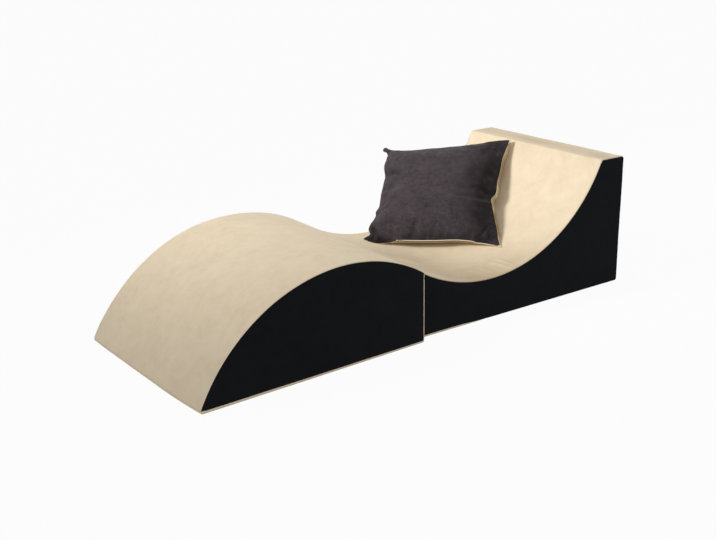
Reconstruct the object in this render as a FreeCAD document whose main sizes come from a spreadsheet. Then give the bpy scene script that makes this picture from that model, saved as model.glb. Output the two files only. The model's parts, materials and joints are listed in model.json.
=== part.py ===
import FreeCAD, Part
import math
import os
from types import SimpleNamespace

import Sketcher

# Two-block foam lounger with a loose scatter cushion.
#
# Both blocks are cut from one cuboid of foam by one S-shaped cut: a hump for the legs and, behind it, a valley for
# the seat that sweeps up into the backrest. Hump and valley are arcs of one radius, so the leg block turned over
# nests on the seat block. Millimetres, +Z up, +X from the foot end to the backrest, +Y to the right side of
# someone who lies on it. The origin is on the floor, midway along the two blocks when they are pushed together.

# Driving sizes: alias, value, meaning
SIZES = (
    ("lounger_width", 700, "both blocks, side to side"),
    ("lounger_height", 470, "top of the backrest above the floor"),
    ("leg_length", 820, "leg block, toe to joint face; also the run of the seat's curve"),
    ("curve_radius", 560, "hump and valley"),
    ("back_land", 112, "flat top of the backrest, front to back"),
    ("edge_radius", 9, "rounding of every upholstered edge"),
    ("cover_thickness", 1.5, "microsuede and its backing"),
    ("wadding_thickness", 6, "wadding over the curved tops"),
    ("leg_turn", 2.2, "degrees that the leg block stands turned, seen from above"),
    ("leg_side_step", 33, "how far the leg block stands out past the seat block's left side"),
    ("joint_clearance", 0.3, "nearest distance of the two blocks at the joint"),
    ("block_zip_length", 580, "closed chain of a block's zip"),
    ("block_zip_height", 62, "zip's centre line above the floor"),
    ("block_zip_tape_width", 8, "each tape in a block's zip, as far as it shows"),
    ("block_zip_depth", 9, "how far the zip sits in behind the cover's face"),
    ("zip_end_room", 20, "channel past each end of the chain, for the pull"),
    ("zip_tape_gap", 1, "between the two tapes, under the chain"),
    ("zip_tape_thickness", 1.5, "woven tape"),
    ("zip_chain_width", 5, "across the closed teeth"),
    ("zip_chain_thickness", 2.2, "closed teeth above the tapes"),
    ("zip_chain_rounding", 0.7, "along the two outer edges of the teeth"),
    ("zip_stop_length", 3, "metal stop at each end of the chain"),
    ("zip_stop_width", 5.6, "across the chain"),
    ("zip_stop_thickness", 2.8, "above the tapes"),
    ("slider_length", 11, "along the zip"),
    ("slider_wall", 1.2, "top plate and side flanges"),
    ("slider_clearance", 0.3, "slider to chain and tapes, and pull to slider"),
    ("slider_rounding", 0.9, "upright corners of the slider"),
    ("bridge_width", 2, "loop that holds the pull, across the zip"),
    ("bridge_wall", 1, "thickness of that loop"),
    ("pull_bar_radius", 0.8, "round bar of the pull inside the loop"),
    ("pull_length", 22, "bar to tip"),
    ("pull_width", 6.4, "across"),
    ("pull_thickness", 1.2, "flat tab"),
    ("pull_rail", 1.5, "strip each side of the pull's window"),
    ("cushion_width", 484, "filled cushion, corner to corner, from a 500 mm cover"),
    ("cushion_height", 482, "filled cushion, corner to corner"),
    ("cushion_front_crown", 52, "seam plane to the middle of the front"),
    ("cushion_back_crown", 62, "seam plane to the middle of the back"),
    ("cushion_side_draw", 30, "how far the left and right seams pull in"),
    ("cushion_top_draw", 13, "how far the top seam pulls in"),
    ("cushion_bottom_draw", 14, "how far the bottom seam pulls in"),
    ("cushion_fabric", 1.2, "cover of the cushion"),
    ("cushion_seam_margin", 3, "sewn margin inside the seams"),
    ("cushion_zip_length", 250, "closed chain of the cushion's zip"),
    ("cushion_zip_tape_width", 6.5, "each tape in the cushion's zip, as far as it shows"),
    ("cushion_zip_depth", 7, "how far the zip sits in behind the bottom seam"),
    ("cushion_turn", 40.2, "degrees that the cushion faces away from the foot end, towards the left side"),
    ("cushion_stand_x", 358, "joint face to the middle of the cushion's bottom edge"),
    ("cushion_stand_y", 13, "same point, right of the seat's centre line"),
    ("cushion_rest_gap", 0.6, "cushion's corners to the cover that they rest on"),
    ("overrun", 20, "how far cutting shapes run past the piece"),
)


class Size:
    """A length that carries both its number and the sheet expression that it is worked out from."""

    def __init__(self, number, text):
        self.number = number
        self.text = text

    def _join(self, other, sign, result):
        other_text = other.text if isinstance(other, Size) else str(other)
        return Size(result, f"({self.text} {sign} {other_text})")

    def __add__(self, other):
        return self._join(other, "+", self.number + number(other))

    def __sub__(self, other):
        return self._join(other, "-", self.number - number(other))

    def __mul__(self, other):
        return self._join(other, "*", self.number * number(other))

    def __truediv__(self, other):
        return self._join(other, "/", self.number / number(other))

    def __neg__(self):
        return Size(-self.number, f"(0 - {self.text})")


def number(size):
    """The plain number of a size."""
    return size.number if isinstance(size, Size) else float(size)


doc = FreeCAD.newDocument("lounger")
sheet = doc.addObject("Spreadsheet::Sheet", "Sizes")
for row, (alias, value, meaning) in enumerate(SIZES, start=1):
    sheet.set(f"A{row}", alias)
    sheet.set(f"B{row}", str(value))
    sheet.set(f"C{row}", meaning)
    sheet.setAlias(f"B{row}", alias)
doc.recompute()

s = SimpleNamespace(**{
    alias: Size(float(getattr(sheet, alias)), f"Sizes.{alias}") for alias, value, meaning in SIZES
})
ZERO = Size(0.0, "0")
half_width = s.lounger_width / 2
joint_height = s.lounger_height / 2
seat_length = s.leg_length + s.back_land
nodes = []


# Small helpers for sketches, boxes and booleans

def new_body(name):
    """An empty body with its origin planes."""
    return doc.addObject("PartDesign::Body", name)


def new_sketch(body, name, role, offset=None):
    """A sketch on one origin plane of its own body, moved along the plane's normal by offset."""
    sketch = body.newObject("Sketcher::SketchObject", name)
    plane = next(item for item in body.Origin.OriginFeatures if item.Role == role)
    sketch.AttachmentSupport = [(plane, "")]
    sketch.MapMode = "FlatFace"
    if offset is not None:
        sketch.setExpression("AttachmentOffset.Base.z", offset.text)
    return sketch


def bind(sketch, kind, size, *where):
    """Adds a dimension to a sketch and ties it to the sheet."""
    index = sketch.addConstraint(Sketcher.Constraint(kind, *where, size.number))
    sketch.setExpression(f"Constraints[{index}]", size.text)


def pin(sketch, item, point, x, y):
    """Fixes one point of a sketch at x, y."""
    bind(sketch, "DistanceX", x, -1, 1, item, point)
    bind(sketch, "DistanceY", y, -1, 1, item, point)


def vector(x, y):
    """A point of a sketch as a vector."""
    return FreeCAD.Vector(number(x), number(y), 0)


def polygon(sketch, points):
    """A closed outline of straight lines with every corner pinned."""
    count = len(points)
    for index, start in enumerate(points):
        end = points[(index + 1) % count]
        sketch.addGeometry(Part.LineSegment(vector(*start), vector(*end)), False)
    for index, start in enumerate(points):
        sketch.addConstraint(Sketcher.Constraint("Coincident", (index - 1) % count, 2, index, 1))
        pin(sketch, index, 1, *start)


def rectangle(sketch, low_x, high_x, low_y, high_y):
    """A rectangle between two pairs of sizes."""
    polygon(sketch, [(low_x, low_y), (high_x, low_y), (high_x, high_y), (low_x, high_y)])


def circle(sketch, x, y, radius):
    """A full circle."""
    item = sketch.addGeometry(Part.Circle(vector(x, y), FreeCAD.Vector(0, 0, 1), radius.number), False)
    pin(sketch, item, 3, x, y)
    bind(sketch, "Radius", radius, item)


def pad(body, sketch, length, name, symmetric=False):
    """Pads a sketch, along its normal or to both sides of its plane."""
    feature = body.newObject("PartDesign::Pad", name)
    feature.Profile = sketch
    feature.SideType = "Symmetric" if symmetric else "One side"
    feature.setExpression("Length", length.text)
    return feature


def fillet(body, base, edges, radius, name):
    """Rounds named edges of a feature."""
    feature = body.newObject("PartDesign::Fillet", name)
    feature.Base = (base, edges)
    feature.setExpression("Radius", radius.text)
    return feature


def box(name, low, high):
    """A box between two corners, both given as sizes."""
    item = doc.addObject("Part::Box", name)
    for side, low_end, high_end in zip(("Length", "Width", "Height"), low, high):
        item.setExpression(side, (high_end - low_end).text)
    for axis, low_end in zip("xyz", low):
        item.setExpression(f"Placement.Base.{axis}", low_end.text)
    return item


def boolean(kind, name, base, tool):
    """Cut or Common of two shapes."""
    item = doc.addObject(f"Part::{kind}", name)
    item.Base = base
    item.Tool = tool
    return item


def cut(name, base, *tools):
    """Base with every tool taken away, one after another."""
    for index, tool in enumerate(tools):
        base = boolean("Cut", name if index == len(tools) - 1 else f"{name}_step_{index}", base, tool)
    return base


def common(name, base, tool):
    """What two shapes share."""
    return boolean("Common", name, base, tool)


def keep(item, name, frame):
    """Makes a shape one of the part's nodes: its label, and its place in the part."""
    item.Label = name
    item.Placement = frame
    nodes.append(item)
    return item


# Side views of the two blocks

def arc_centre(left, right, radius, above):
    """Centre of the arc through two points, above or below their chord."""
    middle = (left + right) * 0.5
    chord = right - left
    reach = math.sqrt(radius ** 2 - (chord.Length / 2) ** 2)
    normal = FreeCAD.Vector(-chord.y, chord.x, 0) * (reach / chord.Length)
    return middle + normal if above else middle - normal


def arc_between(centre, start, end):
    """Arc about centre, counter-clockwise from start to end."""
    ring = Part.Circle(centre, FreeCAD.Vector(0, 0, 1), (start - centre).Length)
    angles = [math.atan2(point.y - centre.y, point.x - centre.x) for point in (start, end)]
    return Part.ArcOfCircle(ring, *angles)


hump_centre = arc_centre(vector(0, 0), vector(s.leg_length, joint_height), s.curve_radius.number, above=False)
valley_centre = arc_centre(
    vector(0, joint_height), vector(s.leg_length, s.lounger_height), s.curve_radius.number, above=True)


def curve_height(centre, radius, x, up):
    """Height of a circle at x, on its upper or lower side."""
    rise = math.sqrt(radius ** 2 - (x - centre.x) ** 2)
    return centre.y + rise if up else centre.y - rise


def guide_arc(sketch, centre, start, end, radius):
    """Construction arc that fixes where the block's curve runs."""
    item = sketch.addGeometry(arc_between(centre, vector(*start), vector(*end)), True)
    pin(sketch, item, 1, *start)
    pin(sketch, item, 2, *end)
    bind(sketch, "Radius", radius, item)
    return item


def join_ends(sketch, items):
    """Joins the end of each line or arc to the start of the next, and the last to the first."""
    for index, item in enumerate(items):
        sketch.addConstraint(Sketcher.Constraint("Coincident", item, 2, items[(index + 1) % len(items)], 1))


def leg_outline(sketch, base_in, end_in, top_in):
    """Leg block seen from the side: each face moved inwards by its own amount."""
    guide = guide_arc(sketch, hump_centre, (s.leg_length, joint_height), (ZERO, ZERO), s.curve_radius)
    radius = s.curve_radius - top_in
    end_x = s.leg_length - end_in
    toe_reach = math.sqrt(radius.number ** 2 - (base_in.number - hump_centre.y) ** 2)
    toe = vector(hump_centre.x - toe_reach, base_in)
    heel = vector(end_x, base_in)
    joint = vector(end_x, curve_height(hump_centre, radius.number, end_x.number, up=True))
    base = sketch.addGeometry(Part.LineSegment(toe, heel), False)
    end = sketch.addGeometry(Part.LineSegment(heel, joint), False)
    top = sketch.addGeometry(arc_between(hump_centre, joint, toe), False)
    join_ends(sketch, [base, end, top])
    sketch.addConstraint(Sketcher.Constraint("Coincident", guide, 3, top, 3))
    sketch.addConstraint(Sketcher.Constraint("Horizontal", base))
    sketch.addConstraint(Sketcher.Constraint("Vertical", end))
    bind(sketch, "Radius", radius, top)
    bind(sketch, "DistanceY", base_in, -1, 1, base, 1)
    bind(sketch, "DistanceX", end_x, -1, 1, end, 1)


def seat_outline(sketch, base_in, end_in, top_in):
    """Seat block seen from the side: base, both ends, and the top moved inwards by their own amounts."""
    guide = guide_arc(
        sketch, valley_centre, (ZERO, joint_height), (s.leg_length, s.lounger_height), s.curve_radius)
    radius = s.curve_radius + top_in
    rear_x = seat_length - end_in
    land_z = s.lounger_height - top_in
    land_reach = math.sqrt(radius.number ** 2 - (land_z.number - valley_centre.y) ** 2)
    front_low = vector(end_in, base_in)
    rear_low = vector(rear_x, base_in)
    rear_top = vector(rear_x, land_z)
    land_front = vector(valley_centre.x + land_reach, land_z)
    front_top = vector(end_in, curve_height(valley_centre, radius.number, end_in.number, up=False))
    base = sketch.addGeometry(Part.LineSegment(front_low, rear_low), False)
    rear = sketch.addGeometry(Part.LineSegment(rear_low, rear_top), False)
    land = sketch.addGeometry(Part.LineSegment(rear_top, land_front), False)
    curve = sketch.addGeometry(arc_between(valley_centre, front_top, land_front), False)
    front = sketch.addGeometry(Part.LineSegment(front_top, front_low), False)
    sketch.addConstraint(Sketcher.Constraint("Coincident", base, 2, rear, 1))
    sketch.addConstraint(Sketcher.Constraint("Coincident", rear, 2, land, 1))
    sketch.addConstraint(Sketcher.Constraint("Coincident", land, 2, curve, 2))
    sketch.addConstraint(Sketcher.Constraint("Coincident", curve, 1, front, 1))
    sketch.addConstraint(Sketcher.Constraint("Coincident", front, 2, base, 1))
    sketch.addConstraint(Sketcher.Constraint("Coincident", guide, 3, curve, 3))
    for line in (base, land):
        sketch.addConstraint(Sketcher.Constraint("Horizontal", line))
    for line in (rear, front):
        sketch.addConstraint(Sketcher.Constraint("Vertical", line))
    bind(sketch, "Radius", radius, curve)
    bind(sketch, "DistanceY", base_in, -1, 1, base, 1)
    bind(sketch, "DistanceX", end_in, -1, 1, front, 1)
    bind(sketch, "DistanceX", rear_x, -1, 1, rear, 1)
    bind(sketch, "DistanceY", land_z, -1, 1, land, 1)


# The covered blocks

def rounded_block(name, outline, inset, radius):
    """A whole block with all its edges rounded, its faces moved in by one amount."""
    body = new_body(name)
    sketch = new_sketch(body, f"{name}_outline", "XZ_Plane")
    outline(sketch, inset, inset, inset)
    block = pad(body, sketch, s.lounger_width - inset * 2, f"{name}_pad", symmetric=True)
    doc.recompute()
    edges = [f"Edge{index + 1}" for index in range(len(block.Shape.Edges))]
    fillet(body, block, edges, radius, f"{name}_edges")
    return body


def plate(name, outline, insets, low_y, thickness):
    """A flat plate of the block's side view, from low_y on towards the right side."""
    body = new_body(name)
    sketch = new_sketch(body, f"{name}_outline", "XZ_Plane", offset=-(low_y + thickness))
    outline(sketch, *insets)
    pad(body, sketch, thickness, f"{name}_pad")
    return body


def zip_channel(name, end_x, side_grow, floor_grow):
    """The channel across a block's end that its zip lies in, grown at its sides and at its floor."""
    half_length = s.block_zip_length / 2 + s.zip_end_room + side_grow
    half_height = s.block_zip_tape_width + s.zip_tape_gap / 2 + side_grow
    low = (end_x - s.block_zip_depth - floor_grow, -half_length, s.block_zip_height - half_height)
    high = (end_x + s.overrun, half_length, s.block_zip_height + half_height)
    return box(name, low, high)


def zip_floor(name, end_x):
    """The slot at the bottom of the channel that the two tapes close."""
    half_length = s.block_zip_length / 2 + s.zip_end_room
    half_height = s.block_zip_tape_width + s.zip_tape_gap / 2
    low = (end_x - s.block_zip_depth - s.overrun, -half_length, s.block_zip_height - half_height)
    high = (end_x - s.block_zip_depth, half_length, s.block_zip_height + half_height)
    return box(name, low, high)


def upholster(prefix, end_name, outline, length, end_height, front_height, frame):
    """Foam, wadding and the sewn panels of one block. The end at x = length holds the zip.

    Every seam runs one edge radius inside the edges: cream strips show round the black sides.
    """
    cover = s.cover_thickness
    seam = s.edge_radius
    outside = rounded_block(f"{prefix}_outside", outline, ZERO, s.edge_radius)
    inside = rounded_block(f"{prefix}_inside", outline, cover, s.edge_radius - cover)
    channel = zip_channel(f"{prefix}_channel", length, ZERO, ZERO)
    lined_channel = zip_channel(f"{prefix}_lined_channel", length, cover, s.zip_tape_thickness)
    outside_open = cut(f"{prefix}_outside_open", outside, channel)
    lining = cut(f"{prefix}_lining", inside, lined_channel)
    shell = cut(f"{prefix}_shell", outside_open, lining, zip_floor(f"{prefix}_floor", length))

    past = -s.overrun
    core_insets = (past, past, cover + s.wadding_thickness)
    core_shape = plate(f"{prefix}_core_shape", outline, core_insets, -half_width, s.lounger_width)
    keep(common(f"{prefix}_core", lining, core_shape), f"{prefix}_foam_core", frame)
    keep(cut(f"{prefix}_soft_top", lining, core_shape), f"{prefix}_wadding", frame)

    insets = (seam, seam, seam)
    left = plate(f"{prefix}_left_area", outline, insets, -half_width, cover)
    right = plate(f"{prefix}_right_area", outline, insets, half_width - cover, cover)
    keep(common(f"{prefix}_left", shell, left), f"{prefix}_side_panel_left", frame)
    keep(common(f"{prefix}_right", shell, right), f"{prefix}_side_panel_right", frame)
    band = cut(f"{prefix}_band", shell, left, right)

    low_y = -(half_width + s.overrun)
    high_y = half_width + s.overrun
    end_low_x = length - s.block_zip_depth - s.edge_radius * 2
    end_high_x = length + s.overrun
    areas = {
        "base_panel": ((past, low_y, past), (end_high_x, high_y, seam)),
        f"{end_name}_lower_panel": ((end_low_x, low_y, seam), (end_high_x, high_y, s.block_zip_height)),
        f"{end_name}_upper_panel": (
            (end_low_x, low_y, s.block_zip_height), (end_high_x, high_y, end_height - seam * 2)),
    }
    if front_height is not None:
        areas["front_panel"] = ((past, low_y, seam), (seam, high_y, front_height - seam * 2))
    tools = []
    for name, corners in areas.items():
        area = box(f"{prefix}_{name}_area", *corners)
        keep(common(f"{prefix}_{name}_shape", band, area), f"{prefix}_{name}", frame)
        tools.append(area)
    keep(cut(f"{prefix}_top", band, *tools), f"{prefix}_top_panel", frame)


# The zips, each in its own frame: X along the zip, Z outwards, and z = 0 on the tapes

slider_inner_half = s.zip_chain_width / 2 + s.slider_clearance
slider_outer_half = slider_inner_half + s.slider_wall
slider_inner_top = s.zip_chain_thickness + s.slider_clearance
slider_top = slider_inner_top + s.slider_wall
bar_height = slider_top + s.slider_clearance + s.pull_bar_radius
bridge_inner_half = s.pull_bar_radius + s.slider_clearance
bridge_outer_half = bridge_inner_half + s.bridge_wall
WINDOW_SHARE = 1.6


def edge_names(shape, test):
    """Names of the edges for which a test holds."""
    return [f"Edge{index + 1}" for index, edge in enumerate(shape.Edges) if test(edge)]


def runs_along(edge, axis):
    """True for a straight edge along one axis."""
    direction = edge.Vertexes[-1].Point - edge.Vertexes[0].Point
    return direction.Length > 0 and abs(direction.normalize().dot(axis)) > 1 - Part.Precision.confusion()


def zip_tape(name, low_y, high_y, half_length, frame):
    """One flat tape under the chain."""
    body = new_body(f"{name}_body")
    sketch = new_sketch(body, f"{name}_outline", "XY_Plane", offset=-s.zip_tape_thickness)
    rectangle(sketch, -half_length, half_length, low_y, high_y)
    pad(body, sketch, s.zip_tape_thickness, f"{name}_pad")
    keep(body, name, frame)


def zip_chain(name, half_length, frame):
    """The closed teeth as one strip with rounded outer edges."""
    body = new_body(f"{name}_body")
    sketch = new_sketch(body, f"{name}_outline", "XY_Plane")
    half_chain = s.zip_chain_width / 2
    rectangle(sketch, -half_length, half_length, -half_chain, half_chain)
    strip = pad(body, sketch, s.zip_chain_thickness, f"{name}_pad")
    doc.recompute()
    top = s.zip_chain_thickness.number / 2
    edges = edge_names(
        strip.Shape,
        lambda edge: runs_along(edge, FreeCAD.Vector(1, 0, 0)) and edge.CenterOfMass.z > top)
    fillet(body, strip, edges, s.zip_chain_rounding, f"{name}_rounding")
    keep(body, name, frame)


def zip_stops(name, half_length, frame):
    """The metal stop at each end of the chain."""
    half_stop = s.zip_stop_width / 2
    ends = ((half_length, half_length + s.zip_stop_length), (-half_length - s.zip_stop_length, -half_length))
    pair = doc.addObject("Part::MultiFuse", f"{name}_pair")
    pair.Shapes = [
        box(f"{name}_{index}", (low_x, -half_stop, ZERO), (high_x, half_stop, s.zip_stop_thickness))
        for index, (low_x, high_x) in enumerate(ends)
    ]
    keep(pair, name, frame)


def zip_slider(name, frame):
    """Slider that straddles the chain, with the bridge that holds the pull."""
    body = new_body(f"{name}_body")
    section = new_sketch(body, f"{name}_section", "YZ_Plane")
    polygon(section, [
        (-slider_outer_half, s.slider_clearance), (-slider_inner_half, s.slider_clearance),
        (-slider_inner_half, slider_inner_top), (slider_inner_half, slider_inner_top),
        (slider_inner_half, s.slider_clearance), (slider_outer_half, s.slider_clearance),
        (slider_outer_half, slider_top), (-slider_outer_half, slider_top),
    ])
    channel = pad(body, section, s.slider_length, f"{name}_channel", symmetric=True)
    doc.recompute()
    flange = ((slider_inner_half + slider_outer_half) / 2).number
    edges = edge_names(
        channel.Shape,
        lambda edge: runs_along(edge, FreeCAD.Vector(0, 0, 1)) and abs(edge.CenterOfMass.y) > flange)
    fillet(body, channel, edges, s.slider_rounding, f"{name}_corners")
    bridge = new_sketch(body, f"{name}_bridge_outline", "XZ_Plane")
    foot = slider_top - s.slider_wall / 2
    inner_top = bar_height + s.pull_bar_radius + s.slider_clearance
    outer_top = inner_top + s.bridge_wall
    polygon(bridge, [
        (-bridge_outer_half, foot), (-bridge_inner_half, foot), (-bridge_inner_half, inner_top),
        (bridge_inner_half, inner_top), (bridge_inner_half, foot), (bridge_outer_half, foot),
        (bridge_outer_half, outer_top), (-bridge_outer_half, outer_top),
    ])
    pad(body, bridge, s.bridge_width, f"{name}_bridge", symmetric=True)
    keep(body, name, frame)


def zip_pull(name, frame):
    """Flat tab that swings on a round bar inside the slider's bridge."""
    body = new_body(f"{name}_body")
    bar = new_sketch(body, f"{name}_bar_outline", "XZ_Plane")
    circle(bar, ZERO, bar_height, s.pull_bar_radius)
    pad(body, bar, s.pull_width, f"{name}_bar", symmetric=True)
    tab = new_sketch(body, f"{name}_tab_outline", "XY_Plane", offset=bar_height - s.pull_thickness / 2)
    half = s.pull_width / 2
    straight = -(s.pull_length - half)
    upper = tab.addGeometry(Part.LineSegment(vector(0, half), vector(straight, half)), False)
    tip = tab.addGeometry(
        arc_between(vector(straight, 0), vector(straight, half), vector(straight, -half)), False)
    lower = tab.addGeometry(Part.LineSegment(vector(straight, -half), vector(0, -half)), False)
    close = tab.addGeometry(Part.LineSegment(vector(0, -half), vector(0, half)), False)
    join_ends(tab, [upper, tip, lower, close])
    pin(tab, upper, 1, ZERO, half)
    pin(tab, lower, 2, ZERO, -half)
    pin(tab, tip, 1, straight, half)
    pin(tab, tip, 3, straight, ZERO)
    bind(tab, "DistanceX", straight, -1, 1, tip, 2)
    window_half = half - s.pull_rail
    window_end = -(bridge_outer_half * WINDOW_SHARE)
    first = tab.GeometryCount
    corners = [(ZERO - s.pull_bar_radius / 2, -window_half), (ZERO - s.pull_bar_radius / 2, window_half),
               (window_end, window_half), (window_end, -window_half)]
    for index, start in enumerate(corners):
        end = corners[(index + 1) % len(corners)]
        tab.addGeometry(Part.LineSegment(vector(*start), vector(*end)), False)
    for index, start in enumerate(corners):
        previous = first + (index - 1) % len(corners)
        tab.addConstraint(Sketcher.Constraint("Coincident", previous, 2, first + index, 1))
        pin(tab, first + index, 1, *start)
    pad(body, tab, s.pull_thickness, f"{name}_tab")
    keep(body, name, frame)


def slider_rest(zip_length):
    """Where the slider stands on a closed zip, along the zip from its middle."""
    return zip_length / 2 - s.slider_length / 2 - s.slider_clearance


def make_zip(prefix, tape_names, zip_length, tape_width, frame):
    """Tapes, chain, stops, slider and pull of one zip, closed."""
    half_length = zip_length / 2
    tape_half = half_length + s.zip_end_room
    near = s.zip_tape_gap / 2
    far = near + tape_width
    zip_tape(f"{prefix}_zip_tape_{tape_names[0]}", near, far, tape_half, frame)
    zip_tape(f"{prefix}_zip_tape_{tape_names[1]}", -far, -near, tape_half, frame)
    zip_chain(f"{prefix}_zip_chain", half_length, frame)
    zip_stops(f"{prefix}_zip_stops", half_length, frame)
    moved = frame.multiply(FreeCAD.Placement(
        FreeCAD.Vector(slider_rest(zip_length).number, 0, 0), FreeCAD.Rotation()))
    zip_slider(f"{prefix}_zip_slider", moved)
    zip_pull(f"{prefix}_zip_pull", moved)
    return moved


# The cushion, in its own frame: X to the seated person's left along the bottom seam, Y up it, Z out of its front

# Rounds in which the cushion's tilt and lean are closed in on
REST_ROUNDS = 50

# Height, corner and middle of each outline from the seam plane to the crown, as shares of the whole
CROWN_SHARES = (
    (0.0, 1.0, 1.0),
    (0.30, 0.80, 0.945),
    (0.60, 0.62, 0.83),
    (0.86, 0.42, 0.60),
    (0.97, 0.20, 0.30),
    (1.0, 0.05, 0.08),
)


def runs_clockwise(start, middle, end):
    """True where an arc through three points runs clockwise."""
    return (middle - start).cross(end - middle).z < 0


def cushion_outline(sketch, margin, corner_share, middle_share):
    """Four arcs from corner to corner, each through the middle of its side."""
    half_x = s.cushion_width / 2 - margin
    half_y = s.cushion_height / 2 - margin
    middle_y = s.cushion_height / 2
    corner_x = half_x * corner_share
    corner_y = half_y * corner_share
    side_x = (half_x - s.cushion_side_draw) * middle_share
    top_y = middle_y + (half_y - s.cushion_top_draw) * middle_share
    bottom_y = middle_y - (half_y - s.cushion_bottom_draw) * middle_share
    corners = [(-corner_x, middle_y - corner_y), (corner_x, middle_y - corner_y),
               (corner_x, middle_y + corner_y), (-corner_x, middle_y + corner_y)]
    middles = [(ZERO, bottom_y), (side_x, middle_y), (ZERO, top_y), (-side_x, middle_y)]
    for index, middle in enumerate(middles):
        start = corners[index]
        end = corners[(index + 1) % len(corners)]
        if runs_clockwise(vector(*start), vector(*middle), vector(*end)):
            start, end = end, start
        centre = Part.Circle(vector(*start), vector(*middle), vector(*end)).Center
        arc = sketch.addGeometry(arc_between(centre, vector(*start), vector(*end)), False)
        pin(sketch, arc, 1, *start)
        pin(sketch, arc, 2, *end)
        point = sketch.addGeometry(Part.Point(vector(*middle)), True)
        pin(sketch, point, 1, *middle)
        sketch.addConstraint(Sketcher.Constraint("PointOnObject", point, 1, arc))


def cushion_half(name, crown, margin, fabric, side):
    """Half of the cushion's form, from the seam plane to its crown. side is 1 in front and -1 behind."""
    body = new_body(name)
    sketches = []
    for index, (rise_share, corner_share, middle_share) in enumerate(CROWN_SHARES):
        offset = (crown - fabric) * rise_share * side
        sketch = new_sketch(body, f"{name}_outline_{index}", "XY_Plane", offset=offset)
        cushion_outline(sketch, margin, corner_share, middle_share)
        sketches.append(sketch)
    loft = body.newObject("PartDesign::AdditiveLoft", f"{name}_loft")
    loft.Profile = sketches[0]
    loft.Sections = sketches[1:]
    return body


def resting_frame():
    """The cushion's place: both bottom corners and the upper left corner rest on the seat's curve."""
    turn = math.radians(s.cushion_turn.number)
    half = s.cushion_width.number / 2
    stand_x = s.cushion_stand_x.number
    reach_radius = s.curve_radius.number - s.cushion_rest_gap.number

    def floor_height(x):
        return curve_height(valley_centre, reach_radius, x, up=False)

    tilt = 0.0
    for _ in range(REST_ROUNDS):
        reach = half * math.cos(tilt) * math.sin(turn)
        rise = floor_height(stand_x + reach) - floor_height(stand_x - reach)
        tilt = math.asin(rise / (2 * half))
    stand_z = (floor_height(stand_x + reach) + floor_height(stand_x - reach)) / 2
    bottom = FreeCAD.Vector(stand_x, s.cushion_stand_y.number, stand_z)
    along = FreeCAD.Vector(
        math.sin(turn) * math.cos(tilt), -math.cos(turn) * math.cos(tilt), math.sin(tilt))
    upright = (FreeCAD.Vector(0, 0, 1) - along * along.z).normalize()
    front = along.cross(upright)

    def up_the_cushion(lean):
        return upright * math.cos(lean) - front * math.sin(lean)

    low, high = 0.0, math.pi / 2
    for _ in range(REST_ROUNDS):
        lean = (low + high) / 2
        corner = bottom + along * half + up_the_cushion(lean) * s.cushion_height.number
        from_axis = math.hypot(corner.x - valley_centre.x, corner.z - valley_centre.y)
        if from_axis < reach_radius:
            low = lean
        else:
            high = lean
    up = up_the_cushion(lean)
    return FreeCAD.Placement(bottom, FreeCAD.Rotation(along, up, along.cross(up), "XYZ"))


def make_cushion(frame):
    """Front and back panel, filling and zip of the scatter cushion."""
    none, margin, fabric = ZERO, s.cushion_seam_margin, s.cushion_fabric
    outer_front = cushion_half("cushion_outer_front", s.cushion_front_crown, none, none, 1)
    outer_back = cushion_half("cushion_outer_back", s.cushion_back_crown, none, none, -1)
    inner_front = cushion_half("cushion_inner_front", s.cushion_front_crown, margin, fabric, 1)
    inner_back = cushion_half("cushion_inner_back", s.cushion_back_crown, margin, fabric, -1)
    notch_top = s.cushion_bottom_draw + s.cushion_zip_depth
    notch_half = s.cushion_zip_length / 2 + s.zip_end_room
    notch = box(
        "cushion_zip_notch",
        (-notch_half, -s.overrun, -s.cushion_back_crown), (notch_half, notch_top, s.cushion_front_crown))
    keep(cut("cushion_front_shell", outer_front, inner_front, notch), "cushion_front_panel", frame)
    keep(cut("cushion_back_shell", outer_back, inner_back, notch), "cushion_back_panel", frame)
    inside = doc.addObject("Part::MultiFuse", "cushion_inside")
    inside.Shapes = [inner_front, inner_back]
    keep(cut("cushion_pad", inside, notch), "cushion_filling", frame)
    zip_place = FreeCAD.Placement(
        FreeCAD.Vector(0, (notch_top - s.zip_tape_thickness).number, 0),
        FreeCAD.Rotation(FreeCAD.Vector(1, 0, 0), FreeCAD.Vector(0, 0, 1), FreeCAD.Vector(0, -1, 0), "XYZ"))
    zip_frame = frame.multiply(zip_place)
    return make_zip("cushion", ("front", "back"), s.cushion_zip_length, s.cushion_zip_tape_width, zip_frame)


# The blocks' places: the leg block stands a little turned, its end face against the seat block's left corner

joint_x = ((s.leg_length - seat_length + s.joint_clearance) / 2).number
seat_frame = FreeCAD.Placement(FreeCAD.Vector(joint_x, 0, 0), FreeCAD.Rotation())
leg_rotation = FreeCAD.Rotation(FreeCAD.Vector(0, 0, 1), s.leg_turn.number)
leg_corner = vector(s.leg_length - s.edge_radius, s.edge_radius - half_width)
turn_angle = math.radians(s.leg_turn.number)
end_to_corner = number(s.edge_radius * 2 + s.joint_clearance) - s.leg_side_step.number * math.sin(turn_angle)
standing_corner = vector(
    joint_x + s.edge_radius.number - end_to_corner / math.cos(turn_angle),
    s.edge_radius - half_width - s.leg_side_step)
leg_frame = FreeCAD.Placement(standing_corner - leg_rotation.multVec(leg_corner), leg_rotation)


def block_zip_place(end_x):
    """Frame of the zip in the end face of a block, in the block's own frame."""
    return FreeCAD.Placement(
        FreeCAD.Vector((end_x - s.block_zip_depth).number, 0, s.block_zip_height.number),
        FreeCAD.Rotation(FreeCAD.Vector(0, 1, 0), FreeCAD.Vector(0, 0, 1), FreeCAD.Vector(1, 0, 0), "XYZ"))


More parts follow.
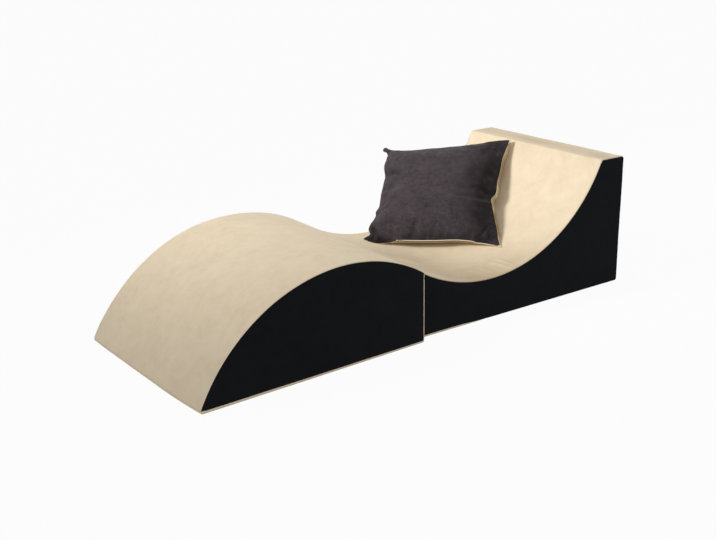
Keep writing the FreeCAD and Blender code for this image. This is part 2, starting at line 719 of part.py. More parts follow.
upholster("leg", "end", leg_outline, s.leg_length, joint_height, None, leg_frame)
upholster("seat", "rear", seat_outline, seat_length, s.lounger_height, joint_height, seat_frame)
leg_slider_frame = make_zip(
    "leg", ("upper", "lower"), s.block_zip_length, s.block_zip_tape_width,
    leg_frame.multiply(block_zip_place(s.leg_length)))
seat_slider_frame = make_zip(
    "seat", ("upper", "lower"), s.block_zip_length, s.block_zip_tape_width,
    seat_frame.multiply(block_zip_place(seat_length)))
cushion_frame = seat_frame.multiply(resting_frame())
cushion_slider_frame = make_cushion(cushion_frame)


# Everything is checked before anything is written

doc.recompute()
for item in doc.Objects:
    if "Invalid" in item.State or "Error" in item.State:
        raise RuntimeError(f"{item.Name} failed: {item.State}")
for node in nodes:
    if node.Shape.isNull() or not node.Shape.isValid() or not node.Shape.Solids:
        raise RuntimeError(f"{node.Label} has no valid solid")

os.makedirs("parts", exist_ok=True)
for node in nodes:
    node.Shape.exportStep(f"parts/{node.Label}.step")
print(len(nodes), "nodes written")
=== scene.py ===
import json
import math

import bmesh
import bpy
import numpy as np
from mathutils import Matrix, Vector


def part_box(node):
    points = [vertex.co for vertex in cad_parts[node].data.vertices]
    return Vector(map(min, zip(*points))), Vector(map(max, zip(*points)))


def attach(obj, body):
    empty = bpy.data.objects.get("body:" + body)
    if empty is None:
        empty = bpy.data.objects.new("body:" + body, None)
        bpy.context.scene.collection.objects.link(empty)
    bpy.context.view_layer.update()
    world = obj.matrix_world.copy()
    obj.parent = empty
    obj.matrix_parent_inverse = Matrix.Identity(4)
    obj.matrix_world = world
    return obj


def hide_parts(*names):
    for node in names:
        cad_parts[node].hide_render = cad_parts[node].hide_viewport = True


# A wave-shaped foam lounger in two covered blocks, with a loose scatter cushion.
# Lengths are metres in the part's own frame: +X from the foot end to the backrest, +Z up.

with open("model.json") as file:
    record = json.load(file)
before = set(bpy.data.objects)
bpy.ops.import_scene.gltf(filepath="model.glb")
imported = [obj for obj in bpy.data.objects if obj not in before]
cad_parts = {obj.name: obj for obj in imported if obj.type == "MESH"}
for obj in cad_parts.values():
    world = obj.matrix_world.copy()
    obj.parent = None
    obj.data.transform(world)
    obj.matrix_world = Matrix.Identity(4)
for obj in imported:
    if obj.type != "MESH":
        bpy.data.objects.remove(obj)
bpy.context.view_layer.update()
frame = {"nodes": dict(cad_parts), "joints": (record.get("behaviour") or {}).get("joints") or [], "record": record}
MM = 0.001


def packed(kind, name):
    """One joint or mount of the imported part, by name."""
    items = frame["joints"] if kind == "joints" else frame["record"][kind]
    return next(item for item in items if item["name"] == name)


# Sizes of the blocks, as their solids have them
seat_low, seat_high = (np.array(corner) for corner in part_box("seat_top_panel"))
HALF_WIDTH = (seat_high[1] - seat_low[1]) / 2
HEIGHT = seat_high[2]
SEAT_LENGTH = seat_high[0] - seat_low[0]
JOINT_HEIGHT = HEIGHT / 2
LEG_LENGTH = 820 * MM
CURVE_RADIUS = 560 * MM
EDGE = 9 * MM
ROUND = 5 * MM
END_SEAM_DROP = 18 * MM
FABRIC = 1.4 * MM
LEG_MOUNT_RUN = 410 * MM

# Zips: closed length, height above the floor, half the slot they lie in, its depth and how its ends close,
# and how far the hem beside the zip has turned in at each of its rows
BLOCK_ZIP_LENGTH = 580 * MM
BLOCK_ZIP_HEIGHT = 62 * MM
BLOCK_SLOT_HALF = 8.5 * MM
BLOCK_SLOT_DEPTH = 9 * MM
BLOCK_SLOT_FADE = 9 * MM
BLOCK_SLOT_SPARE = 2 * MM
BLOCK_HEM_ROWS = (0.1, 0.25, 0.5, 0.95)
CUSHION_HEM_ROWS = (0.1, 0.3, 0.6, 1.0)
HEM_LEAST = 0.15
CUSHION_ZIP_LENGTH = 250 * MM
CUSHION_SLOT_HALF = 5.8 * MM
CUSHION_SLOT_FADE = 7 * MM
CUSHION_HEM_TOP = 19 * MM
CUSHION_PAD_LOW = 25 * MM
CHAIN_RISE = 18.4 * MM
ZIP_END_ROOM = 20 * MM
TOOTH_PITCH = 2.6 * MM
TOOTH_REACH = 2.5 * MM
TOOTH_RISE = 2.2 * MM
# A tooth's half length along the row, half reach over it and offset from it, as shares of pitch and reach,
# and the power of sine and cosine that squares its form
TOOTH_HALF_SHARE = 0.27
TOOTH_REACH_SHARE = 0.62
TOOTH_OFFSET_SHARE = 0.38
TOOTH_SQUARENESS = 0.55

# How the covers lie: seams tuck in, the fabric puckers beside them and rolls softly between them
SEAM_TUCK = 1.3 * MM
SEAM_TUCK_WIDTH = 2.6 * MM
COVER_EASE = 0.4 * MM
SEAM_ALLOWANCE = 6 * MM
SEAM_RIDGE = 1.1 * MM
SEAM_RIDGE_WIDTH = 3.2 * MM
PUCKER_HEIGHT = 0.35 * MM
PUCKER_SPACING = 17 * MM
PUCKER_REACH = 14 * MM
ROLL_HEIGHT = 0.5 * MM
ROLL_SPACING = 190 * MM
# How soon creases and ridges stand in full as a face looks up, and how much less the cover rolls at the joint
UPWARD_GAIN = 3
JOINT_CALM = 0.85
JOINT_CALM_REACH = 14 * MM
# A ripple is this many sine waves, from the shortest to the longest as shares of its spacing. Seeds of the
# ripples along the short seams and in the painted shade.
WAVE_COUNT = 14
WAVE_SHORTEST, WAVE_LONGEST = 0.55, 1.9
SHORT_SEAM_SEED = 31
MARK_SEED = 71
# Spacing and number of the grid lines that carry the covers, and how near two points merge
ROW_STEP = 5 * MM
COLUMN_STEP = 8 * MM
CORNER_STEPS = 9
EDGE_STEPS = 8
CIRCLE_POINTS = 9
TOOTH_RINGS = 5
MERGE_REACH = 0.02 * MM

# How far the black sides reach past the flat of the side, round its edge. They end almost on top of the
# curve, and at the joint where the edge begins to turn. Underneath a cream strip stays, which thins out
# behind the joint. One reach gives way to the next while the outline turns by this slope.
TOP_LAP = 9.2 * MM
JOINT_LAP = 4 * MM
REAR_LAP = 10.8 * MM
TOE_BASE_LAP = 0 * MM
JOINT_BASE_LAP = 2 * MM
LAP_START = 170 * MM
LAP_FULL = 330 * MM
LAP_TURN = 0.38

# The leg block's cover stands forward at the toe, and its seams pull it back at the corners
TOE_FULL = 10 * MM
TOE_REACH = 58 * MM
TOE_NEAR_PULL = 230 * MM
TOE_FAR_PULL = 100 * MM
TOE_FAR_LOSS = 0.25
# The same cover stands up at the far end of its joint edge: how far, over what length, and from where across
JOINT_FULL = 11 * MM
JOINT_REACH = 180 * MM
JOINT_FULL_START = -120 * MM
JOINT_FULL_LOW = 90 * MM
JOINT_FULL_HIGH = 200 * MM

# Creases in the seat's cover: behind the joint face, across, heading in degrees, length, width, height, in mm
SEAT_CREASES = (
    (411, -280, -84, 52, 8, 4.4), (434, -284, -88, 42, 7.5, 3.6), (352, -272, -86, 34, 7, 2.6),
    (251, -300, -82, 30, 7, 2.2), (382, -306, -80, 34, 7, 2.2), (405, 296, 74, 40, 5, 1.0),
    (452, 310, 62, 34, 5, 0.9), (848, -262, 78, 44, 9, 1.5), (872, -226, 60, 34, 8, 1.1),
    (860, 120, 96, 60, 10, 0.8))

# Painted shade on the two tops, darkest in the seat's valley and along the joint: the same, with a depth of shade
# as the last value
LEG_PAINTED_SHADE = ((790, -230, 0, 90, 130, 0.28),)
SEAT_PAINTED_SHADE = (
    (20, -340, 0, 140, 110, 0.12), (150, -80, 0, 160, 190, 0.46), (-2, 170, 90, 300, 9, 0.8),
    (290, -310, 0, 210, 110, 0.5), (330, 20, 8, 260, 240, 0.1), (855, -300, 90, 60, 30, 0.18),
    (870, 40, 90, 90, 26, 0.15), (876, 0, 90, 420, 40, 0.22))
# How far apart the ripples lie that thin the painted shade on the blocks and on the cushion, and how much they
# thin it
BLOCK_MARK_RIPPLE = 160 * MM
CUSHION_MARK_RIPPLE = 36 * MM
MARK_RAGGED = 0.3

# The cushion's seam line in its own frame, in mm: across from the middle, up from the plain bottom edge, and
# in front of the plain seam plane. Each side runs from corner to corner, pulled in between them and wavy
# where the filling is slack. The bottom left end is rolled under and lies on the seat, and the top right
# corner stands off the backrest.
CUSHION_LEFT = (
    (-280, 31, -17.5), (-265, 39, -12), (-253, 46, -10), (-260, 70, -5), (-255, 91, -2), (-244, 118, 0),
    (-241, 132, 0), (-244, 146, 0), (-241, 158, 0), (-236, 172, 0), (-236, 200, 0), (-238, 235, 0),
    (-237, 280, 0), (-237, 305, 0), (-236, 325, 0), (-240, 345, 0), (-245, 362, 0), (-248, 380, 0),
    (-246, 414, 0), (-245, 446, 0), (-252, 458, 0), (-265, 464, 0), (-269, 474, 0))
CUSHION_RIGHT = (
    (247, -27, 7), (235, 12, 4), (223, 66, 1), (206, 134, 0), (195, 182, 0), (189, 210, 0), (201, 228, 0),
    (205, 252, 0), (204, 291, 0), (208, 331, 0), (211, 373, 0), (213, 406, 3), (223, 446, 11), (238, 491, 26))
CUSHION_BOTTOM = (
    (-280, 31, -17.5), (-262, 19, -10.5), (-248, 14, -10), (-228, 6, -7), (-209, 4.5, -8), (-190, 5, -8),
    (-166, 7.5, -6), (-152, 8, -2), (-140, 7, 0), (-91, 6, 0), (-17, 6, 0), (19, 7, 0), (71, 9, 0),
    (100, 8, 0), (145, 2, 0), (204, -9, 2), (232, -20, 6), (247, -27, 7))
CUSHION_TOP = (
    (-269, 474, 0), (-266, 484, 0), (-255, 486, 0), (-245, 476, 0), (-231, 471, 0), (-199, 469, 0),
    (-157, 469, 0), (-118, 472, 0), (-78, 477, 0), (-39, 479, 0), (0, 484, 0), (39, 487, 0), (78, 492, 0),
    (116, 498, 0), (154, 505, 1), (196, 503, 10), (238, 491, 26))
# How far into the cushion, as a share of it, the seam's stand-off from its plane fades away
CUSHION_LIFT_FADE = 0.25
# The back bulges past the right-hand seam, except near the corners, and the seam parts over the zip's slot
CUSHION_BACK_BULGE = 18 * MM
CUSHION_BULGE_REACH = 13 * MM
CUSHION_BULGE_FADE = 0.12
CUSHION_SLOT_REACH = 0.012
# Its crowns, their two powers, and how much these change towards the front's right side. Folds stand in full
# where the crown has risen to a quarter.
CUSHION_FRONT_CROWN = 44 * MM
CUSHION_BACK_CROWN = 52 * MM
CROWN_INNER_POWER, CROWN_OUTER_POWER = 2.4, 0.6
CROWN_INNER_LEAN, CROWN_OUTER_LEAN = 0.7, 0.3
FOLD_GAIN = 4
# Its grid crowds towards the seam by this share. The filling moves its cloth by the cap at most, or by this
# share of the depth.
CUSHION_CELLS = 96
CUSHION_CROWDING = 0.35
CUSHION_CLOTH_CAP = 16 * MM
CUSHION_CLOTH_SHARE = 0.45
CUSHION_CLOTH_FRAMES = 20
CUSHION_CLEAR = 1.0 * MM
CUSHION_FABRIC = 1.2 * MM
# The back's edge rolls forward along the seam from this far left: its radius, the least radius, how far it
# stands forward as a share of it, and over which shares of its run it begins and ends
SEAM_ROLL = 1.6 * MM
SEAM_ROLL_START = -148 * MM
SEAM_ROLL_LEAST = 0.1 * MM
SEAM_ROLL_FORWARD = 0.7
SEAM_ROLL_BEGIN, SEAM_ROLL_END = 0.04, 0.1
# The fibre pad keeps this share of the cushion's depth, and its edges round over by this power
PAD_LOFT = 0.93
PAD_EDGE_POWER = 8
PAD_TRIM_CELLS = 6

# Folds pressed into the cushion's front: across, up, heading in degrees, length, width, height, in mm
CUSHION_FOLDS = (
    (-216, 322, -20, 30, 12, -7), (-222, 250, 8, 26, 12, -6), (-228, 134, 30, 16, 7, -7),
    (-214, 160, 64, 30, 9, -5), (-240, 44, -58, 26, 6, -8), (180, 227, 162, 44, 11, -9),
    (150, 430, 62, 44, 12, -4), (116, 452, 24, 30, 9, -3), (-192, 96, 38, 38, 13, -5),
    (-222, 60, 20, 22, 9, -4), (-30, 440, 98, 26, 13, -3), (186, 330, 84, 90, 26, -9),
    (170, 120, 98, 70, 30, -7))
# Painted shade on its front, where its right side, its bottom edge, its ear and its folds turn away from the lamp,
# and on the cream back in the crevice behind the right-hand seam: the last value is the depth of shade
CUSHION_PAINTED_SHADE = (
    (196, 330, 88, 160, 60, 0.95), (190, 120, 94, 130, 60, 1.0), (150, 230, 90, 190, 60, 0.3),
    (104, 300, 60, 50, 24, 0.3), (150, 470, 8, 110, 40, 0.35), (-196, 320, -30, 40, 20, 0.6),
    (-206, 230, 70, 60, 14, 0.35), (-40, 130, 30, 42, 16, 0.3), (20, 14, 0, 240, 22, 0.6),
    (-200, 70, 40, 60, 22, 0.4), (-238, 56, -60, 30, 9, 1.0), (-238, 20, -18, 60, 14, 1.4))
CUSHION_BACK_PAINTED_SHADE = ((212, 350, 84, 120, 20, 0.9), (214, 100, 102, 110, 22, 1.2))


# Smooth surfaces

def waves(seed, spacing, *places):
    """Even, seeded ripple from about -1 to 1: a sum of sine waves whose lengths lie round one spacing."""
    draw = np.random.default_rng(seed)
    total = 0.0
    for _ in range(WAVE_COUNT):
        length = spacing * draw.uniform(WAVE_SHORTEST, WAVE_LONGEST)
        heading = unit(draw.normal(size=len(places)))
        phase = draw.uniform(0, 2 * math.pi)
        run = sum(share * place for share, place in zip(heading, places))
        total = total + np.sin(run * 2 * math.pi / length + phase)
    return total * math.sqrt(2 / WAVE_COUNT) / 2


def bell(distance, reach):
    """1 at no distance and 0 well away, as a bell curve."""
    return np.exp(-(distance / reach) ** 2)


def smooth_step(value):
    """0 below 0 and 1 above 1, with a smooth S between."""
    value = np.clip(value, 0, 1)
    return value * value * (3 - 2 * value)


def ridges(folds, x, y, unit=MM):
    """Each fold is a long bell-shaped ridge: its height, in its unit, times the bells along and beside it."""
    total = np.zeros(np.broadcast(x, y).shape)
    for centre_x, centre_y, heading, length, width, height in folds:
        turn = math.radians(heading)
        right, ahead = x - centre_x * MM, y - centre_y * MM
        along = right * math.cos(turn) + ahead * math.sin(turn)
        beside = ahead * math.cos(turn) - right * math.sin(turn)
        total += height * unit * bell(along, length * MM) * bell(beside, width * MM)
    return total


def even(start, end, step):
    """Evenly spaced values from start to end, about a step apart."""
    return np.linspace(start, end, max(2, int(round(abs(end - start) / step)) + 1))


def unit(vectors):
    """Vectors brought to a length of 1."""
    return vectors / np.linalg.norm(vectors, axis=-1, keepdims=True)


# Pieces

def cells(rows, columns):
    """The four corners of every cell of a grid, as point numbers."""
    index = np.arange(rows * columns).reshape(rows, columns)
    return np.stack([index[:-1, :-1], index[:-1, 1:], index[1:, 1:], index[1:, :-1]], -1).reshape(-1, 4)


def in_scene(name, data):
    """Puts a mesh, a lamp or a camera into the scene."""
    made = bpy.data.objects.new(name, data)
    bpy.context.scene.collection.objects.link(made)
    return made


def add_wall(piece, thickness):
    """Gives a cover its fabric's thickness, to the inside."""
    wall = piece.modifiers.new("wall", "SOLIDIFY")
    wall.thickness = thickness
    wall.offset = -1


def make_piece(name, grids, outwards, body, material, stands_for, thickness=FABRIC):
    """One mesh from grids of points (rows, columns, xyz), merged where they meet, its wall to the inside.

    outwards holds each grid's outward directions: a grid whose faces look the other way is turned over.
    """
    vertices = []
    faces = []
    start = 0
    for grid, outward in zip(grids, outwards):
        across = grid[:-1, 1:] - grid[:-1, :-1]
        along = grid[1:, :-1] - grid[:-1, :-1]
        if np.sum(np.cross(across, along) * outward[:-1, :-1]) < 0:
            grid = grid[:, ::-1]
        rows, columns = grid.shape[:2]
        vertices.append(grid.reshape(-1, 3))
        faces.append(start + cells(rows, columns))
        start += rows * columns
    mesh = bpy.data.meshes.new(name)
    mesh.from_pydata(np.concatenate(vertices).tolist(), [], np.concatenate(faces).tolist())
    shape = bmesh.new()
    shape.from_mesh(mesh)
    bmesh.ops.remove_doubles(shape, verts=shape.verts, dist=MERGE_REACH)
    shape.to_mesh(mesh)
    shape.free()
    mesh.shade_smooth()
    mesh.materials.append(material)
    piece = in_scene(name, mesh)
    if thickness:
        add_wall(piece, thickness)
    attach(piece, body)
    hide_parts(*stands_for)
    return piece


def piece_points(piece):
    """A piece's points as an array."""
    places = np.empty(len(piece.data.vertices) * 3)
    piece.data.vertices.foreach_get("co", places)
    return places.reshape(-1, 3)


def paint_shade_marks(piece, shade_marks, local, spacing):
    """Writes on each point of a piece how much painted shade it takes: the marks' bells at its place in the
    block's or cushion's own frame, thinned by ripples."""
    x, y = local[:, 0], local[:, 1]
    ripple = np.clip(1 + MARK_RAGGED * waves(MARK_SEED, spacing, x, y), 0, 1)
    share = np.clip(ridges(shade_marks, x, y, 1), 0, 1) * ripple
    piece.data.attributes.new("nap_and_painted_shade", "FLOAT", "POINT").data.foreach_set("value", share)


# Materials

FIRST_COLOUR, SECOND_COLOUR, MIXED_COLOUR = 6, 7, 2


def linear(hex_colour):
    """sRGB hex to the linear colour that shaders take."""
    parts = [int(hex_colour[start:start + 2], 16) / 255 for start in (0, 2, 4)]
    return [c / 12.92 if c <= 0.04045 else ((c + 0.055) / 1.055) ** 2.4 for c in parts] + [1]


def add(tree, kind, links=None, **settings):
    """Adds one shader node with its settings. links gives each socket a value or another node's output."""
    made = tree.nodes.new(kind)
    for name, value in settings.items():
        setattr(made, name, value)
    for name, value in (links or {}).items():
        if isinstance(value, bpy.types.NodeSocket):
            tree.links.new(value, made.inputs[name])
        else:
            made.inputs[name].default_value = value
    return made


def reckoned(tree, operation, *values):
    """A sum in numbers done by a node, on values and other nodes' outputs."""
    return add(tree, "ShaderNodeMath", dict(enumerate(values)), operation=operation).outputs["Value"]


def noise(tree, place, size, detail, roughness=0.5, distortion=0.0):
    """Cloudy blotches of about one size, from 0 to 1."""
    return add(tree, "ShaderNodeTexNoise", {
        "Vector": place, "Scale": 1 / size, "Detail": detail, "Roughness": roughness,
        "Distortion": distortion}).outputs["Fac"]


def ranged(tree, value, low, high, to_low=0.0, to_high=1.0):
    """A value stretched from one range to another and held inside it."""
    return add(tree, "ShaderNodeMapRange", {
        "Value": value, "From Min": low, "From Max": high, "To Min": to_low,
        "To Max": to_high}).outputs["Result"]


def mixed(tree, share, first, second):
    """The colour between two, each of them in hex or from another node."""
    first, second = (linear(colour) if isinstance(colour, str) else colour for colour in (first, second))
    return add(tree, "ShaderNodeMix", {
        "Factor": share, FIRST_COLOUR: first, SECOND_COLOUR: second},
        data_type="RGBA").outputs[MIXED_COLOUR]


def new_material(name):
    """An empty material, its node tree, its output, and the place on the object that patterns read."""
    material = bpy.data.materials.new(name)
    material.use_nodes = True
    tree = material.node_tree
    tree.nodes.clear()
    place = add(tree, "ShaderNodeTexCoord").outputs["Object"]
    return material, tree, add(tree, "ShaderNodeOutputMaterial"), place


def surface(tree, output, colour, roughness, relief=None, more=None):
    """Ends a material with its colour, its roughness, and its relief as a height, a strength and a depth."""
    sockets = {"Base Color": colour, "Roughness": roughness}
    sockets.update(more or {})
    if relief:
        height, strength, depth = relief
        sockets["Normal"] = add(tree, "ShaderNodeBump", {
            "Height": height, "Strength": strength, "Distance": depth}).outputs["Normal"]
    shader = add(tree, "ShaderNodeBsdfPrincipled", sockets)
    tree.links.new(shader.outputs["BSDF"], output.inputs["Surface"])


def microsuede(
        name, deep, base, light, sheen, sheen_colour, patch=70 * MM, streak=24 * MM, depth=0.5, shade_marks=None):
    """Microsuede: polyester split into a short nap and brushed, so that no thread shows.

    Brushing leaves soft patches where the nap lies another way, and streaks about a finger wide. The fibres
    are a tenth of a millimetre, and are drawn 0.9 mm across so that they show as a fine felt. The colour given
    for painted shade is mixed in as far as the piece's own attribute for it says, darker where shade falls.
    """
    material, tree, output, place = new_material(name)
    fibre = 0.9 * MM
    patches = noise(tree, place, patch, detail=4, roughness=0.55, distortion=0.4)
    streaks = noise(tree, place, streak, detail=3, roughness=0.6, distortion=0.8)
    fibres = noise(tree, place, fibre, detail=2, roughness=0.7)
    lie = ranged(tree, patches, 0.32, 0.68)
    nap_and_painted_shade = ranged(tree, streaks, 0.3, 0.75, to_high=depth)
    colour = mixed(tree, nap_and_painted_shade, mixed(tree, lie, deep, base), light)
    # Painted shade: the colour given for it, as far as the piece's attribute says
    if shade_marks:
        painted_shade_share = add(tree, "ShaderNodeAttribute", attribute_name="nap_and_painted_shade").outputs["Fac"]
        colour = mixed(tree, painted_shade_share, colour, shade_marks)
    nap = reckoned(tree, "MULTIPLY_ADD", fibres, 0.6, streaks)
    surface(tree, output, colour, 0.92, (nap, 0.35, fibre * 0.4), {
        "Specular IOR Level": 0.12, "Sheen Weight": sheen, "Sheen Roughness": 0.45,
        "Sheen Tint": linear(sheen_colour)})
    return material


def loose_filling(name, deep, light, cell, strength):
    """Cut foam shows its open cells, wadding and fibre filling their tangled fibres. None of them shines."""
    material, tree, output, place = new_material(name)
    pores = add(tree, "ShaderNodeTexVoronoi", {"Vector": place, "Scale": 1 / cell}).outputs["Distance"]
    surface(tree, output, mixed(tree, pores, deep, light), 1.0, (pores, strength, cell * 0.5),
            {"Specular IOR Level": 0.15})
    return material


def woven_tape(name, deep, light):
    """Polyester zip tape in herringbone twill: ribs 0.9 mm apart, drawn across it as fine dark lines."""
    material, tree, output, place = new_material(name)
    ribs = add(tree, "ShaderNodeTexWave", {
        "Vector": place, "Scale": 1 / (0.9 * MM * 2 * math.pi) * 2, "Distortion": 1.5, "Detail": 2,
        "Detail Scale": 1.5}, bands_direction="DIAGONAL").outputs["Fac"]
    surface(tree, output, mixed(tree, ribs, deep, light), 0.8, (ribs, 0.4, 0.2 * MM))
    return material


def moulded_teeth(name, deep, light):
    """Moulded acetal zip teeth: slightly waxy, a little uneven in shade from tooth to tooth."""
    material, tree, output, place = new_material(name)
    shade = noise(tree, place, 4 * MM, detail=1)
    surface(tree, output, mixed(tree, shade, deep, light), 0.38, more={"IOR": 1.48})
    return material


def plated_zinc(name, dull, bright):
    """Die-cast zinc, tumbled and nickel plated: bright, with fine rub marks 0.6 mm apart that dull it."""
    material, tree, output, place = new_material(name)
    rubs = noise(tree, place, 0.6 * MM, detail=3, roughness=0.7)
    surface(tree, output, mixed(tree, rubs, dull, bright), ranged(tree, rubs, 0, 1, 0.18, 0.42),
            (rubs, 0.12, 0.1 * MM), {"Metallic": 1.0})
    return material


# The cream and the charcoal each take a darker colour as painted shade
cream_microsuede = microsuede(
    "cream_microsuede", "DFCDB0", "E8D8BC", "EFE0C6", 0.25, "FFF4E2", shade_marks="8C7148")
black_microsuede = microsuede("black_microsuede", "090A0D", "0E0F12", "141519", 0.06, "8890A0")
charcoal_microsuede = microsuede(
    "charcoal_microsuede", "2E292C", "40393D", "51494D", 0.25, "B8AEB2",
    patch=60 * MM, streak=17 * MM, depth=0.7, shade_marks="1B181A")
cut_foam = loose_filling("cut_polyurethane_foam", "CFC296", "EFE6C4", 2.2 * MM, 0.6)
wadding = loose_filling("polyester_wadding", "E3E3E0", "FAFAF8", 5 * MM, 0.4)
fibre = loose_filling("hollow_fibre_filling", "E6E6E4", "FCFCFA", 8 * MM, 0.5)
tape_weave = woven_tape("woven_polyester_tape", "C3B393", "DCCDAE")
tooth_plastic = moulded_teeth("moulded_acetal_teeth", "CDBD9C", "DDCFB2")
zip_plating = plated_zinc("nickel_plated_zinc", "B9B8B4", "E2E1DD")

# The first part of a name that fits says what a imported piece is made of
PIECE_MATERIALS = (
    ("foam_core", cut_foam), ("wadding", wadding), ("filling", fibre), ("tape", tape_weave),
    ("chain", tooth_plastic), ("zip", zip_plating), ("side_panel", black_microsuede),
    ("cushion_front_panel", charcoal_microsuede), ("", cream_microsuede))
for node, piece in frame["nodes"].items():
    piece.data.materials.clear()
    piece.data.materials.append(next(material for part, material in PIECE_MATERIALS if part in node))


# The blocks' covers. A block's side outline is held one edge width inside its faces, as rows of (along, up,
# outward along, outward up). The cover is that outline carried across the block and rounded over its two long
# edges, so a point is outline + outward x (edge - round + round x cos b) + sideways x round x sin b.

def straight(start, end, outward, step=ROW_STEP):
    """A straight run of outline."""
    share = even(0, math.dist(start, end), step)[:, None] / math.dist(start, end)
    points = np.array(start) + share * (np.array(end) - np.array(start))
    return np.hstack([points, np.broadcast_to(outward, points.shape)])


def bend(centre, radius, start, end, sign, step=ROW_STEP):
    """A run of outline along a circle. sign is 1 where the outline bulges out and -1 where it is hollow."""
    angle = even(start * radius, end * radius, step) / radius
    outward = np.stack([np.cos(angle), np.sin(angle)], 1)
    return np.hstack([np.array(centre) + radius * outward, outward * sign])


def turn(corner, start, end):
    """A corner: one point, where the outward direction turns."""
    angle = np.linspace(start, end, CORNER_STEPS)
    outward = np.stack([np.cos(angle), np.sin(angle)], 1)
    return np.hstack([np.broadcast_to(corner, outward.shape), outward])


def circle_height(centre, radius, x, sign):
    """Height of a circle at x: above its centre with sign 1, and below it with -1."""
    return centre[1] + sign * np.sqrt(radius ** 2 - (x - centre[0]) ** 2)


class Block:
    """A covered foam block: where it stands, which way it points, where along it the other block meets it,
    and the seeds of its rolls and puckers."""

    def __init__(self, prefix, origin, heading, joint_x, roll_seed, pucker_seed):
        self.prefix, self.body, self.joint_x = prefix, f"{prefix}_block", joint_x
        self.roll_seed, self.pucker_seed, self.outlines = roll_seed, pucker_seed, {}
        self.origin = np.array(origin)
        self.axes = np.array([heading, [-heading[1], heading[0], 0], [0, 0, 1]])

    def placed(self, points):
        """Block points in the part's frame."""
        return self.origin + points @ self.axes

    def turned(self, directions):
        """Block directions in the part's frame."""
        return directions @ self.axes

    def local(self, points):
        """Points of the part's frame in the block's own."""
        return (points - self.origin) @ self.axes.T

    def rolls(self, x, y, z):
        """The cover's slow rolls at a place: seeded sine ripples of about the roll spacing."""
        return ROLL_HEIGHT * waves(self.roll_seed, ROLL_SPACING, x, y, z)

    def puckers(self, along, up):
        """Puckers along a long seam: seeded sine ripples of about the pucker spacing."""
        return waves(self.pucker_seed, PUCKER_SPACING, along, up)


# The S-curve is two equal arcs that meet at the joint's top edge. The hump's starts at the toe on the floor.
chord = math.hypot(LEG_LENGTH, JOINT_HEIGHT)
sag_reach = math.sqrt(CURVE_RADIUS ** 2 - (chord / 2) ** 2)
HUMP_CENTRE = (
    LEG_LENGTH / 2 + sag_reach * JOINT_HEIGHT / chord, JOINT_HEIGHT / 2 - sag_reach * LEG_LENGTH / chord)
VALLEY_CENTRE = (LEG_LENGTH - HUMP_CENTRE[0], 2 * JOINT_HEIGHT - HUMP_CENTRE[1])
hump_inner = CURVE_RADIUS - EDGE
valley_inner = CURVE_RADIUS + EDGE

slide_axis = np.array(packed("joints", "leg_block_slide")["axis"])
leg_mount = np.array(packed("mounts", "leg_floor_rest")["pos_m"])
leg = Block("leg", leg_mount + slide_axis * LEG_MOUNT_RUN, -slide_axis, LEG_LENGTH, 11, 51)
seat = Block("seat", (seat_low[0], 0, 0), (1.0, 0, 0), 0, 12, 52)

def direction(centre, x, z):
    """The angle at which a place lies round a centre."""
    return math.atan2(z - centre[1], x - centre[0])


def common_outlines(start_x, end_x, seam_z):
    """What both blocks share: the end above and below its zip, and the underside."""
    return {
        "upper": [straight((end_x, seam_z), (end_x, BLOCK_ZIP_HEIGHT), (1, 0))],
        "lower": [straight((end_x, BLOCK_ZIP_HEIGHT), (end_x, EDGE), (1, 0))],
        "base": [
            turn((end_x, EDGE), 0, -math.pi / 2),
            straight((end_x, EDGE), (start_x, EDGE), (0, -1)),
            turn((start_x, EDGE), -math.pi / 2, -math.pi)],
    }


toe_x = HUMP_CENTRE[0] - math.sqrt(hump_inner ** 2 - (EDGE - HUMP_CENTRE[1]) ** 2)
toe_angle = direction(HUMP_CENTRE, toe_x, EDGE)
leg_top_x = LEG_LENGTH - EDGE
leg_top_z = circle_height(HUMP_CENTRE, hump_inner, leg_top_x, 1)
leg_top_angle = direction(HUMP_CENTRE, leg_top_x, leg_top_z)
seat_top_z = circle_height(VALLEY_CENTRE, valley_inner, EDGE, -1)
seat_front_angle = direction(VALLEY_CENTRE, EDGE, seat_top_z)
land_z = HEIGHT - EDGE
ridge_x = VALLEY_CENTRE[0] + math.sqrt(valley_inner ** 2 - (VALLEY_CENTRE[1] - land_z) ** 2)
ridge_angle = direction(VALLEY_CENTRE, ridge_x, land_z)
rear_x = SEAT_LENGTH - EDGE
joint_seam_z = JOINT_HEIGHT - END_SEAM_DROP
rear_seam_z = HEIGHT - END_SEAM_DROP

leg.outlines = common_outlines(toe_x, leg_top_x, joint_seam_z)
leg.outlines["top"] = [
    turn((toe_x, EDGE), math.pi, toe_angle),
    bend(HUMP_CENTRE, hump_inner, toe_angle, leg_top_angle, 1),
    turn((leg_top_x, leg_top_z), leg_top_angle, 0),
    straight((leg_top_x, leg_top_z), (leg_top_x, joint_seam_z), (1, 0))]
seat.outlines = common_outlines(EDGE, rear_x, rear_seam_z)
seat.outlines["front"] = [straight((EDGE, EDGE), (EDGE, joint_seam_z), (-1, 0))]
seat.outlines["top"] = [
    straight((EDGE, joint_seam_z), (EDGE, seat_top_z), (-1, 0)),
    turn((EDGE, seat_top_z), math.pi, seat_front_angle + math.pi),
    bend(VALLEY_CENTRE, valley_inner, seat_front_angle, ridge_angle, -1),
    turn((ridge_x, land_z), ridge_angle + math.pi, math.pi / 2),
    straight((ridge_x, land_z), (rear_x, land_z), (0, 1)),
    turn((rear_x, land_z), math.pi / 2, 0),
    straight((rear_x, land_z), (rear_x, rear_seam_z), (1, 0))]

QUARTER = ROUND * math.pi / 2


